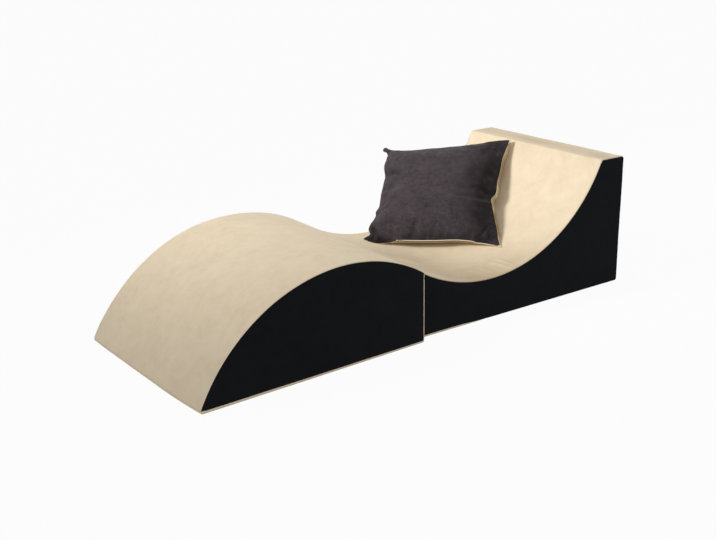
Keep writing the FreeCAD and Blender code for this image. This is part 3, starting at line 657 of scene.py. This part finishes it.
def lap(block, x, out_along, out_up):
    """How far the black side reaches round the edge at a place on the outline. It changes smoothly from the
    top's reach over the ends' reach to the underside's as the outline turns from up to down."""
    upper = smooth_step(out_up / LAP_TURN)
    under = smooth_step(-out_up / LAP_TURN)
    if block is leg:
        base = TOE_BASE_LAP + (JOINT_BASE_LAP - TOE_BASE_LAP) * smooth_step(x / LEG_LENGTH)
        end = JOINT_LAP
    else:
        joint_share = smooth_step((x - LAP_START) / (LAP_FULL - LAP_START))
        base = JOINT_BASE_LAP + (REAR_LAP - JOINT_BASE_LAP) * joint_share
        end = np.where(out_along > 0, REAR_LAP, JOINT_LAP)
    return upper * TOP_LAP + under * base + (1 - upper - under) * end


def over_edge(run):
    """Fabric that has gone a run over a long edge: it turns by run / ROUND up to a quarter turn, and then
    goes straight down. Gives the turn, how far it stands over the outline, and how far outside the flat."""
    angle = np.minimum(run / ROUND, math.pi / 2)
    down = np.maximum(run - QUARTER, 0)
    return angle, EDGE - ROUND + ROUND * np.cos(angle) - down, ROUND * np.sin(angle)


def fuller(block, points):
    """The leg block's cover stands forward at its toe, as a bell along the block. Across it this is full in
    the middle and falls off as a parabola to nothing at the near corner and to three quarters at the far one.
    It also stands up at its joint edge: a bell along the block, times a smooth step from the near to the far
    side, and another from over the zip to the top."""
    if block is seat:
        return points
    x, y, z = points[..., 0], points[..., 1], points[..., 2]
    near = np.clip((HALF_WIDTH + y) / TOE_NEAR_PULL, 0, 1)
    far = np.clip((HALF_WIDTH - y) / TOE_FAR_PULL, 0, 1)
    share = (1 - (1 - near) ** 2) * (1 - TOE_FAR_LOSS * (1 - far) ** 2) * bell(x, TOE_REACH)
    raised = bell(x - block.joint_x, JOINT_REACH)
    raised = raised * smooth_step((y - JOINT_FULL_START) / (HALF_WIDTH - JOINT_FULL_START))
    raised = raised * smooth_step((z - JOINT_FULL_LOW) / (JOINT_FULL_HIGH - JOINT_FULL_LOW))
    return points + np.stack([-TOE_FULL * share, 0 * share, JOINT_FULL * raised], -1)


def stand_off(block, points, outward, side_distance, end_distances, pucker):
    """How far the fabric stands out of the plain form: ease and slow rolls, puckers and a tuck at each seam,
    and on top the ridge of the seam's folded edge beside it.

    Rolls fade where the block stands on the floor and where it meets the other block.
    """
    x, y, z = points[..., 0], points[..., 1], points[..., 2]
    free = 1 - np.clip(-outward[..., 2], 0, 1)
    free = free * (1 - JOINT_CALM * bell(x - block.joint_x, JOINT_CALM_REACH))
    height = free * (COVER_EASE + block.rolls(x, y, z))
    tuck = bell(side_distance, SEAM_TUCK_WIDTH)
    upward = smooth_step(outward[..., 2] * UPWARD_GAIN)
    ridge = bell(side_distance - SEAM_ALLOWANCE, SEAM_RIDGE_WIDTH) * upward
    height = height + SEAM_RIDGE * ridge + free * PUCKER_HEIGHT * pucker * bell(side_distance, PUCKER_REACH)
    for number, distance in enumerate(end_distances):
        ripple = waves(block.roll_seed + SHORT_SEAM_SEED + number, PUCKER_SPACING, y)
        height = height + free * PUCKER_HEIGHT * ripple * bell(distance, PUCKER_REACH)
        tuck = np.maximum(tuck, bell(distance, SEAM_TUCK_WIDTH))
    return height - SEAM_TUCK * tuck


def cover_grid(block, outline):
    """The cream band over one stretch of outline: its points, outward directions, distances to the seams and
    puckers."""
    outline = np.concatenate(outline)
    along, up, out_along, out_up = (column[:, None] for column in outline.T)
    seam_run = QUARTER + EDGE - ROUND - lap(block, along, out_along, out_up)
    flat = HALF_WIDTH - ROUND
    share = np.linspace(0, 1, EDGE_STEPS + 1)
    across = even(-flat, flat, COLUMN_STEP)
    side = np.concatenate([-(1 - share[:-1]), 0 * across, share[1:]])[None, :]
    middle = np.concatenate([0 * share[:-1] - flat, across, 0 * share[1:] + flat])[None, :]
    angle, over, outside = over_edge(abs(side) * seam_run)
    outward = np.stack([
        np.cos(angle) * out_along, np.sin(angle) * np.sign(side), np.cos(angle) * out_up], -1)
    points = np.stack([
        along + out_along * over, middle + np.sign(side) * outside, up + out_up * over], -1)
    steps = np.linalg.norm(np.diff(points[:, points.shape[1] // 2], axis=0), axis=1)
    run = np.concatenate([[0], np.cumsum(steps)])[:, None]
    side_distance = (1 - abs(side)) * seam_run + (flat - abs(middle))
    return points, outward, side_distance, [run, run[-1] - run], block.puckers(along, up)


def top_crease(block, points, outward):
    """Creases of the seat's cover stand on its top faces alone."""
    if block is leg:
        return 0
    return ridges(SEAT_CREASES, points[..., 0], points[..., 1]) * smooth_step(outward[..., 2] * UPWARD_GAIN)


def slot_half(across):
    """Half the opening of a block's zip slot at a place across: full over the zip and shut past its ends."""
    reach = BLOCK_ZIP_LENGTH / 2 + ZIP_END_ROOM + BLOCK_SLOT_SPARE
    return BLOCK_SLOT_HALF * smooth_step((reach - abs(across)) / BLOCK_SLOT_FADE)


def cover_piece(block, panel, node, slot_side=0):
    """One cream panel of a block. slot_side is 1 where its lower edge borders the zip slot, and -1 where its
    upper edge does: that edge parts from the zip's centre line and its hem turns in beside the tape."""
    points, outward, side_distance, end_distances, pucker = cover_grid(block, block.outlines[panel])
    first, last = (0, -1) if slot_side > 0 else (-1, 0)
    if slot_side:
        end_distances = [end_distances[first]]
        far_z = points[first, :, 2]
        share = (points[..., 2] - far_z) / (BLOCK_ZIP_HEIGHT - far_z)
        points[..., 2] += share * slot_side * slot_half(points[..., 1])
    height = stand_off(block, points, outward, side_distance, end_distances, pucker)
    points = points + outward * (height + top_crease(block, points, outward))[..., None]
    if slot_side:
        lip, lip_outward = points[last], outward[last]
        opened = slot_half(lip[:, 1]) / BLOCK_SLOT_HALF
        depth = np.array(BLOCK_HEM_ROWS)[:, None] * BLOCK_SLOT_DEPTH * (HEM_LEAST + (1 - HEM_LEAST) * opened)
        hem = lip[None] - lip_outward[None] * depth[..., None]
        hem_outward = np.broadcast_to(lip_outward, hem.shape)
        if slot_side > 0:
            points, outward = np.concatenate([points, hem]), np.concatenate([outward, hem_outward])
        else:
            points, outward = np.concatenate([hem[::-1], points]), np.concatenate([hem_outward, outward])
    return make_piece(
        f"{block.prefix}_{panel}_cover", [block.placed(fuller(block, points))], [block.turned(outward)],
        block.body, cream_microsuede, [node])


def side_piece(block, side):
    """One black side: a flat grid of columns under the outline, and a border that laps round its edges."""
    if block is leg:
        angle = even(toe_angle * hump_inner, leg_top_angle * hump_inner, ROW_STEP) / hump_inner
        along = HUMP_CENTRE[0] + hump_inner * np.cos(angle)
        top = HUMP_CENTRE[1] + hump_inner * np.sin(angle)
        top_heading = angle
    else:
        along = np.concatenate([even(EDGE, ridge_x, ROW_STEP), even(ridge_x, rear_x, ROW_STEP)[1:]])
        curved = along < ridge_x
        curve = circle_height(VALLEY_CENTRE, valley_inner, np.minimum(along, ridge_x), -1)
        top = np.where(curved, curve, land_z)
        top_heading = np.where(
            curved, np.arctan2(VALLEY_CENTRE[1] - top, VALLEY_CENTRE[0] - along), math.pi / 2)
    share = even(0, top.max(), ROW_STEP) / top.max()
    x = np.broadcast_to(along[None, :], (len(share), len(along)))
    z = EDGE + share[:, None] * (top - EDGE)[None, :]
    outward = np.broadcast_to([0.0, side, 0.0], x.shape + (3,))
    points = np.stack([x, np.full(x.shape, side * HALF_WIDTH), z], -1)
    slope = np.gradient(top, along)
    top_distance = (top[None, :] - z) / np.sqrt(1 + slope ** 2)[None, :]
    height = 0
    nearest = np.full(x.shape, 1.0)
    edges = [
        (top_distance, x, np.broadcast_to(top[None, :], x.shape), np.cos(top_heading), np.sin(top_heading)),
        (z - EDGE, x, np.full(x.shape, EDGE), 0.0, -1.0),
        (along[-1] - x, np.full(x.shape, along[-1]), z, 1.0, 0.0)]
    if block is seat:
        edges.append((x - along[0], np.full(x.shape, along[0]), z, -1.0, 0.0))
    for distance, edge_x, edge_z, edge_out, edge_up in edges:
        distance = np.maximum(distance, 0) + lap(block, edge_x, edge_out, np.asarray(edge_up))
        height = height + PUCKER_HEIGHT * block.puckers(edge_x, edge_z) * bell(distance, PUCKER_REACH)
        nearest = np.minimum(nearest, distance)
    rolls = block.rolls(x, points[..., 1], z)
    height = height + COVER_EASE + rolls - SEAM_TUCK * bell(nearest, SEAM_TUCK_WIDTH)

    # Each stretch of the border: places along and up, stand-off of the flat grid there, and its heading
    stretches = [
        (along, z[0], height[0], np.full(len(along), -math.pi / 2)),
        (x[:, -1], z[:, -1], height[:, -1], np.zeros(len(share))),
        (along[::-1], top[::-1], height[-1, ::-1], top_heading[::-1])]
    if block is seat:
        stretches.append((x[::-1, 0], z[::-1, 0], height[::-1, 0], np.full(len(share), math.pi)))
    border = []
    for number, (run_x, run_z, run_height, heading) in enumerate(stretches):
        border.append(np.stack([run_x, run_z, run_height, heading], 1))
        next_heading = stretches[number + 1][3][0] if number + 1 < len(stretches) else 1.5 * math.pi
        fan = np.repeat(border[-1][-1:], CORNER_STEPS, axis=0)
        fan[:, 3] = np.linspace(heading[-1], next_heading, CORNER_STEPS)
        border.append(fan)
    border_x, border_z, border_height, heading = (column[:, None] for column in np.concatenate(border).T)
    lapped = lap(block, border_x, np.cos(heading), np.sin(heading))
    steps = np.linspace(0, 1, EDGE_STEPS + 1)[None, :]
    angle, over, outside = over_edge(QUARTER + EDGE - ROUND - lapped * steps)
    strip_outward = np.stack([
        np.cos(angle) * np.cos(heading), np.sin(angle) * side, np.cos(angle) * np.sin(heading)], -1)
    strip = np.stack([
        border_x + np.cos(heading) * over, side * (HALF_WIDTH - ROUND + outside),
        border_z + np.sin(heading) * over], -1)
    left_over = lapped * (1 - steps)
    edge_tuck = SEAM_TUCK * (bell(left_over, SEAM_TUCK_WIDTH) - bell(lapped, SEAM_TUCK_WIDTH))
    strip_height = border_height * (1 - np.clip(-strip_outward[..., 2], 0, 1)) - edge_tuck
    grids = [points + outward * height[..., None], strip + strip_outward * strip_height[..., None]]
    name = "left" if side < 0 else "right"
    return make_piece(
        f"{block.prefix}_side_cover_{name}", [block.placed(fuller(block, grid)) for grid in grids],
        [block.turned(outward), block.turned(strip_outward)], block.body,
        black_microsuede, [f"{block.prefix}_side_panel_{name}"])


# Each top gets its painted shade marks
for block, end, shade_marks in ((leg, "end", LEG_PAINTED_SHADE), (seat, "rear", SEAT_PAINTED_SHADE)):
    top_cover = cover_piece(block, "top", f"{block.prefix}_top_panel")
    paint_shade_marks(top_cover, shade_marks, block.local(piece_points(top_cover)), BLOCK_MARK_RIPPLE)
    cover_piece(block, "upper", f"{block.prefix}_{end}_upper_panel", 1)
    cover_piece(block, "lower", f"{block.prefix}_{end}_lower_panel", -1)
    cover_piece(block, "base", f"{block.prefix}_base_panel")
    side_piece(block, -1)
    side_piece(block, 1)
cover_piece(seat, "front", "seat_front_panel")


# The scatter cushion, in its own frame: X along its bottom seam, Y up it and Z out of its front

cushion_along = -np.array(packed("joints", "cushion_zip_run")["axis"])
cushion_front = np.array(packed("joints", "cushion_zip_pull_swing")["axis"])
cushion_up = np.cross(cushion_front, cushion_along)
cushion_axes = np.array([cushion_along, cushion_up, cushion_front])
chain_low, chain_high = (np.array(corner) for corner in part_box("cushion_zip_chain"))
cushion_origin = (chain_low + chain_high) / 2 - cushion_up * CHAIN_RISE


def in_part(points):
    """Cushion points in the part's frame."""
    return cushion_origin + points @ cushion_axes


def smooth_side(points, share):
    """A smooth line through one side's points, given in mm, by cubic pieces whose slopes follow their
    neighbours."""
    points = np.array(points) * MM
    knots = np.concatenate([[0], np.cumsum(np.linalg.norm(np.diff(points, axis=0), axis=1))])
    knots /= knots[-1]
    slopes = np.gradient(points, knots, axis=0)
    piece = np.clip(np.searchsorted(knots, share, side="right") - 1, 0, len(knots) - 2)
    width = (knots[piece + 1] - knots[piece])[:, None]
    local = ((share - knots[piece])[:, None]) / width
    blend = (2 * local ** 3 - 3 * local ** 2 + 1, local ** 3 - 2 * local ** 2 + local,
             3 * local ** 2 - 2 * local ** 3, local ** 3 - local ** 2)
    return (blend[0] * points[piece] + blend[1] * width * slopes[piece]
            + blend[2] * points[piece + 1] + blend[3] * width * slopes[piece + 1])


def cushion_slot_share(across):
    """1 over the cushion's zip and its end room, and 0 a little past them."""
    reach = CUSHION_ZIP_LENGTH / 2 + ZIP_END_ROOM + CUSHION_SLOT_FADE
    return smooth_step((reach - abs(across)) / CUSHION_SLOT_FADE)


def cushion_half(side):
    """One cover of the cushion before it is filled, and its crown.

    Its plan is the seam line's four sides blended inwards: the sum of each side's place times its nearness,
    less each corner's place times both of its sides' nearness, because two sides share it. The seam's
    stand-off is blended the same way, with a nearness that fades out close to the seam. The cover rises from
    there by its crown times both ways' (1 - t^2.4)^0.6, t being 1 at the seam and 0 in the middle, so it is
    thin at the corners and full in the middle. The front falls away more slowly towards its right side. The
    back bulges out past its right-hand seam by s e^(1 - s), s being the way in from the seam over the
    bulge's reach.
    """
    even_share = np.linspace(0, 1, CUSHION_CELLS + 1)
    crowded = (1 - np.cos(math.pi * even_share)) / 2
    share = (1 - CUSHION_CROWDING) * even_share + CUSHION_CROWDING * crowded
    across, up = np.meshgrid(share, share)
    left, right = smooth_side(CUSHION_LEFT, share), smooth_side(CUSHION_RIGHT, share)
    bottom, top = smooth_side(CUSHION_BOTTOM, share), smooth_side(CUSHION_TOP, share)

    def blended(low, high, first, last, part):
        """The four sides' values carried inwards by their nearness, less the corners' which came in twice."""
        corner = (first * low * bottom[0, part] + last * low * bottom[-1, part]
                  + first * high * top[0, part] + last * high * top[-1, part])
        return (low * bottom[None, :, part] + high * top[None, :, part]
                + first * left[:, None, part] + last * right[:, None, part] - corner)

    plan = np.stack([blended(1 - up, up, 1 - across, across, part) for part in (0, 1)], -1)
    near = [1 - smooth_step(edge / CUSHION_LIFT_FADE) for edge in (up, 1 - up, across, 1 - across)]
    seam = blended(*near, 2)
    reach = 2 * across - 1
    lean = smooth_step(reach) if side > 0 else 0 * reach
    inner, outer = CROWN_INNER_POWER - CROWN_INNER_LEAN * lean, CROWN_OUTER_POWER + CROWN_OUTER_LEAN * lean
    full = (1 - abs(reach) ** inner) ** outer
    full = full * (1 - abs(2 * up - 1) ** CROWN_INNER_POWER) ** CROWN_OUTER_POWER
    crown = CUSHION_FRONT_CROWN if side > 0 else CUSHION_BACK_CROWN
    rise = seam + side * crown * full
    if side > 0:
        rise = rise + ridges(CUSHION_FOLDS, plan[..., 0], plan[..., 1]) * np.minimum(1, full * FOLD_GAIN)
    rise = rise + side * CUSHION_SLOT_HALF * bell(up, CUSHION_SLOT_REACH) * cushion_slot_share(plan[..., 0])
    if side < 0:
        inside = (right[:, :1] - plan[..., 0]) / CUSHION_BULGE_REACH
        along_side = smooth_step(up / CUSHION_BULGE_FADE) * smooth_step((1 - up) / CUSHION_BULGE_FADE)
        plan[..., 0] += CUSHION_BACK_BULGE * inside * np.exp(1 - inside) * along_side
    return np.concatenate([plan, rise[..., None]], -1), crown * full


def rest_on_seat(points):
    """Keeps points of the cushion off the seat: inside the valley's circle and above the flat top."""
    local = seat.local(points)
    x, z = local[..., 0] - VALLEY_CENTRE[0], local[..., 2] - VALLEY_CENTRE[1]
    reach = np.hypot(x, z)
    clear = CUSHION_CLEAR + COVER_EASE + ROLL_HEIGHT
    limit = CURVE_RADIUS - clear
    inside = (local[..., 0] < LEG_LENGTH) & (reach > limit)
    scale = np.where(inside, limit / reach, 1)
    lifted = np.where(inside, VALLEY_CENTRE[1] + z * scale, local[..., 2])
    moved = np.where(inside, VALLEY_CENTRE[0] + x * scale, local[..., 0])
    above = HEIGHT + clear
    lifted = np.where((local[..., 0] >= LEG_LENGTH) & (lifted < above), above, lifted)
    return seat.placed(np.stack([moved, local[..., 1], lifted], -1))


def filled(front, back, front_depth, back_depth):
    """Both covers blown out by their filling: cloth with a little air pressure, cut a few percent large so
    that it wrinkles, held along its seams. No point moves further than the cap, or than its share of the
    depth there, so the covers stay apart where the cushion is thin."""
    start = np.concatenate([front.reshape(-1, 3), back.reshape(-1, 3)])
    depth = np.concatenate([front_depth.ravel(), back_depth.ravel()])[:, None]
    rows, columns = front.shape[:2]
    index = np.arange(rows * columns).reshape(rows, columns)
    quads = cells(rows, columns)
    mesh = bpy.data.meshes.new("cushion_cloth")
    mesh.from_pydata(start.tolist(), [], np.concatenate([quads, quads[:, ::-1] + rows * columns]).tolist())
    sheet = in_scene("cushion_cloth", mesh)
    seam = np.concatenate([index[0], index[-1], index[:, 0], index[:, -1]])
    group = sheet.vertex_groups.new(name="seam")
    group.add(np.concatenate([seam, seam + rows * columns]).tolist(), 1.0, "REPLACE")
    cloth = sheet.modifiers.new("cloth", "CLOTH")
    for name, value in (
            ("vertex_group_mass", "seam"), ("quality", 7), ("mass", 0.25), ("tension_stiffness", 18),
            ("compression_stiffness", 18), ("shear_stiffness", 8), ("bending_stiffness", 0.05),
            ("shrink_min", -0.025), ("use_pressure", True), ("uniform_pressure_force", 4)):
        setattr(cloth.settings, name, value)
    cloth.settings.effector_weights.gravity = 0
    cloth.collision_settings.use_collision = False
    cloth.point_cache.frame_start = 1
    cloth.point_cache.frame_end = CUSHION_CLOTH_FRAMES
    scene = bpy.context.scene
    for number in range(1, CUSHION_CLOTH_FRAMES + 1):
        scene.frame_set(number)
    done = sheet.evaluated_get(bpy.context.evaluated_depsgraph_get())
    moved = np.empty(start.size)
    done.data.vertices.foreach_get("co", moved)
    move = moved.reshape(-1, 3) - start
    reach = np.linalg.norm(move, axis=1)[:, None]
    cap = np.minimum(CUSHION_CLOTH_CAP, CUSHION_CLOTH_SHARE * depth)
    end = start + move * np.minimum(1, cap / np.maximum(reach, MM / 1000))
    bpy.data.objects.remove(sheet)
    bpy.data.meshes.remove(mesh)
    scene.frame_set(1)
    return end[:rows * columns].reshape(front.shape), end[rows * columns:].reshape(back.shape)


(front_grid, front_depth), (back_grid, back_depth) = cushion_half(1), cushion_half(-1)
front_grid, back_grid = filled(front_grid, back_grid, front_depth, back_depth)


def hem(grid):
    """The bottom edge's turned-in hem beside the zip: it goes up into the slot, and shrinks away past its
    ends."""
    lip = grid[0]
    opened = cushion_slot_share(lip[:, 0])
    depth = np.array(CUSHION_HEM_ROWS)[:, None] * (CUSHION_HEM_TOP - lip[:, 1]) * opened[None, :]
    rolled = np.broadcast_to(lip, depth.shape + (3,)).copy()
    rolled[..., 1] += depth
    return np.concatenate([rolled[::-1], grid])


def seam_roll(path, radius):
    """The back's sewn edge rolled forward along a seam: a thin round profile carried along its line."""
    tangent = unit(np.gradient(path, axis=0))
    side = unit(np.cross(tangent, cushion_front))
    up = np.cross(side, tangent)
    angle = np.linspace(0, 2 * math.pi, CIRCLE_POINTS)
    outward = np.cos(angle)[None, :, None] * side[:, None] + np.sin(angle)[None, :, None] * up[:, None]
    return path[:, None] + outward * radius[:, None, None], outward


for name, grid, side, slot, material, node, shade_marks in (
        ("cushion_front_cover", front_grid, 1, "charcoal_microsuede", charcoal_microsuede,
         "cushion_front_panel", CUSHION_PAINTED_SHADE),
        ("cushion_back_cover", back_grid, -1, "cream_microsuede", cream_microsuede,
         "cushion_back_panel", CUSHION_BACK_PAINTED_SHADE)):
    placed = rest_on_seat(in_part(hem(grid)))
    grids, outwards = [placed], [np.broadcast_to(side * cushion_front, placed.shape)]
    if side < 0:
        rim = np.concatenate([front_grid[0][front_grid[0, :, 0] > SEAM_ROLL_START], front_grid[1:, -1]])
        rim[:, 2] += SEAM_ROLL * SEAM_ROLL_FORWARD
        share = np.linspace(0, 1, len(rim))
        radius = SEAM_ROLL * smooth_step(share / SEAM_ROLL_BEGIN) * smooth_step((1 - share) / SEAM_ROLL_END)
        radius = radius + SEAM_ROLL_LEAST
        roll, roll_outward = seam_roll(rest_on_seat(in_part(rim)), radius)
        grids.append(roll)
        outwards.append(roll_outward)
    piece = make_piece(name, grids, outwards, "cushion", material, [node], thickness=0)
    # Painted shade on the front's right side, edges, ear and folds, and in the crevice behind the back's
    # right-hand seam
    paint_shade_marks(piece, shade_marks, (piece_points(piece) - cushion_origin) @ cushion_axes.T, CUSHION_MARK_RIPPLE)
    finer = piece.modifiers.new("finer", "SUBSURF")
    finer.levels = finer.render_levels = 1
    add_wall(piece, CUSHION_FABRIC)

trim = slice(PAD_TRIM_CELLS, -PAD_TRIM_CELLS)
inner_front, inner_back = front_grid[trim, trim].copy(), back_grid[trim, trim].copy()
middle_sheet = (inner_front + inner_back) / 2
rows, columns = np.mgrid[-1:1:inner_front.shape[0] * 1j, -1:1:inner_front.shape[1] * 1j]
loft = PAD_LOFT * np.sqrt((1 - abs(rows) ** PAD_EDGE_POWER) * (1 - abs(columns) ** PAD_EDGE_POWER))[..., None]
inner_front = middle_sheet + (inner_front - middle_sheet) * loft
inner_back = middle_sheet + (inner_back - middle_sheet) * loft
for inner in (inner_front, inner_back):
    inner[..., 1] = np.maximum(inner[..., 1], CUSHION_PAD_LOW)
filling = make_piece(
    "cushion_fibre_pad", [rest_on_seat(in_part(inner_front)), rest_on_seat(in_part(inner_back))],
    [np.broadcast_to(cushion_front, inner_front.shape), np.broadcast_to(-cushion_front, inner_front.shape)],
    "cushion", fibre, ["cushion_filling"], thickness=0)


# Zip teeth: each is a rounded block, and the two rows stand half a pitch apart so that they mesh

def teeth(prefix, body, length):
    """Every tooth is one small rounded block (a sphere with powers of its sines and cosines), repeated."""
    run = packed("joints", f"{prefix}_zip_run")
    swing = packed("joints", f"{prefix}_zip_pull_swing")
    along, across = -np.array(run["axis"]), np.array(swing["axis"])
    outward = np.cross(along, across)
    low, high = (np.array(corner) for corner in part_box(f"{prefix}_zip_chain"))
    centre = (low + high) / 2
    polar, round_angle = np.meshgrid(
        np.linspace(-math.pi / 2, math.pi / 2, TOOTH_RINGS), np.linspace(0, 2 * math.pi, CIRCLE_POINTS))

    def squared(value):
        """A sine or cosine with its sign kept and its size raised to the power that squares the form."""
        return np.sign(value) * abs(value) ** TOOTH_SQUARENESS

    form = np.stack([
        squared(np.cos(polar)) * squared(np.cos(round_angle)),
        squared(np.cos(polar)) * squared(np.sin(round_angle)), squared(np.sin(polar))], -1)
    count = int(length / TOOTH_PITCH)
    places = (np.arange(count) - (count - 1) / 2) * TOOTH_PITCH
    places = np.concatenate([places - TOOTH_PITCH / 4, places + TOOTH_PITCH / 4])
    sides = np.repeat([-1.0, 1.0], count)
    half = np.array([TOOTH_PITCH * TOOTH_HALF_SHARE, TOOTH_REACH * TOOTH_REACH_SHARE, TOOTH_RISE / 2])
    shift = np.stack([places, sides * TOOTH_REACH * TOOTH_OFFSET_SHARE, 0 * places], -1)
    axes = np.array([along, across, outward])
    placed = centre + (form[None] * half + shift[:, None, None]) @ axes
    facing = form[None] @ axes
    make_piece(
        f"{prefix}_zip_teeth", list(placed), list(np.broadcast_to(facing, placed.shape)), body,
        tooth_plastic, [f"{prefix}_zip_chain"], thickness=0)


teeth("leg", "leg_block", BLOCK_ZIP_LENGTH)
teeth("seat", "seat_block", BLOCK_ZIP_LENGTH)
teeth("cushion", "cushion", CUSHION_ZIP_LENGTH)


# Floor, light and camera

STUDIO_WHITE = [1, 1, 1, 1]
FLOOR_HALF = 30.0
# How much of the floor's own white the camera sees instead of its shading, and the white room's light
FLOOR_SEEN = 0.95
ROOM_LIGHT = 0.45
LAMP_COLOUR = (1.0, 0.985, 0.96)
# Places of the lamps, what they point at, their width and their strength
KEY_PLACE, KEY_TARGET, KEY_SIZE, KEY_ENERGY = (-2.2, 1.2, 2.27), (0.76, 0, 0.38), 1.3, 9.1
KEY_SPREAD = math.radians(50)
FILL_PLACE, FILL_TARGET, FILL_SIZE, FILL_ENERGY = (-1.2, -2.2, 1.8), (-0.2, 0, 0.25), 1.8, 11
# The camera: a 53 mm lens on a 36 mm frame, from the front left and a little above. Angles are in radians.
CAMERA_PLACE = (-1.98588, -2.80827, 1.30603)
CAMERA_LENS = 52.51
CAMERA_FRAME = 36
CAMERA_REACH = 100
CAMERA_HEADING = 0.9662279183
CAMERA_DROP = 0.3291050890
CAMERA_ROLL = -0.0198267469


def white_to_camera(tree):
    """1 for rays from the camera and for those that glossy or clear surfaces send out."""
    rays = add(tree, "ShaderNodeLightPath").outputs
    first = reckoned(tree, "MAXIMUM", rays["Is Camera Ray"], rays["Is Glossy Ray"])
    return reckoned(tree, "MAXIMUM", first, rays["Is Transmission Ray"])


def lamp(name, place, target, size, energy):
    """A soft round lamp at a place, pointing at its target."""
    data = bpy.data.lights.new(name, "AREA")
    data.shape = "DISK"
    data.size = size
    data.energy = energy
    data.color = LAMP_COLOUR
    turned = (Vector(place) - Vector(target)).to_track_quat("Z", "Y").to_matrix().to_4x4()
    in_scene(name, data).matrix_world = Matrix.Translation(place) @ turned
    return data


# A painted studio floor: plain pale and matt, shown near white to the camera, where the shadow stays faint
floor_mesh = bpy.data.meshes.new("studio_floor")
floor_mesh.from_pydata(
    [(-FLOOR_HALF, -FLOOR_HALF, 0), (FLOOR_HALF, -FLOOR_HALF, 0), (FLOOR_HALF, FLOOR_HALF, 0),
     (-FLOOR_HALF, FLOOR_HALF, 0)], [], [(0, 1, 2, 3)])
floor = in_scene("studio_floor", floor_mesh)
floor_paint, floor_tree, floor_output, _ = new_material("matt_white_studio_floor")
matt = add(floor_tree, "ShaderNodeBsdfDiffuse", {"Color": linear("E4E4E4")})
glow = add(floor_tree, "ShaderNodeEmission", {"Color": STUDIO_WHITE, "Strength": 1.0})
seen = reckoned(floor_tree, "MULTIPLY", white_to_camera(floor_tree), FLOOR_SEEN)
floor_mix = add(floor_tree, "ShaderNodeMixShader", {
    0: seen, 1: matt.outputs["BSDF"], 2: glow.outputs["Emission"]})
floor_tree.links.new(floor_mix.outputs["Shader"], floor_output.inputs["Surface"])
floor_mesh.materials.append(floor_paint)

world = bpy.data.worlds.new("soft_studio")
world.use_nodes = True
world_tree = world.node_tree
world_tree.nodes.clear()
sky = add(world_tree, "ShaderNodeBackground", {
    "Color": STUDIO_WHITE, "Strength": ranged(world_tree, white_to_camera(world_tree), 0, 1, ROOM_LIGHT, 1)})
world_output = add(world_tree, "ShaderNodeOutputWorld")
world_tree.links.new(sky.outputs["Background"], world_output.inputs["Surface"])
bpy.context.scene.world = world

# A lamp at the foot end, on the far side, and a wide reflector on the near side that lightens the shadows
lamp("soft_key", KEY_PLACE, KEY_TARGET, KEY_SIZE, KEY_ENERGY).spread = KEY_SPREAD
lamp("near_reflector", FILL_PLACE, FILL_TARGET, FILL_SIZE, FILL_ENERGY)

camera_data = bpy.data.cameras.new("camera")
camera_data.sensor_width = CAMERA_FRAME
camera_data.lens = CAMERA_LENS
camera_data.clip_end = CAMERA_REACH
camera = in_scene("camera", camera_data)
camera.matrix_world = (
    Matrix.Translation(CAMERA_PLACE) @ Matrix.Rotation(CAMERA_HEADING - math.pi / 2, 4, "Z")
    @ Matrix.Rotation(math.pi / 2 - CAMERA_DROP, 4, "X") @ Matrix.Rotation(CAMERA_ROLL, 4, "Z"))
bpy.context.scene.camera = camera
bpy.context.scene.view_settings.view_transform = "Standard"
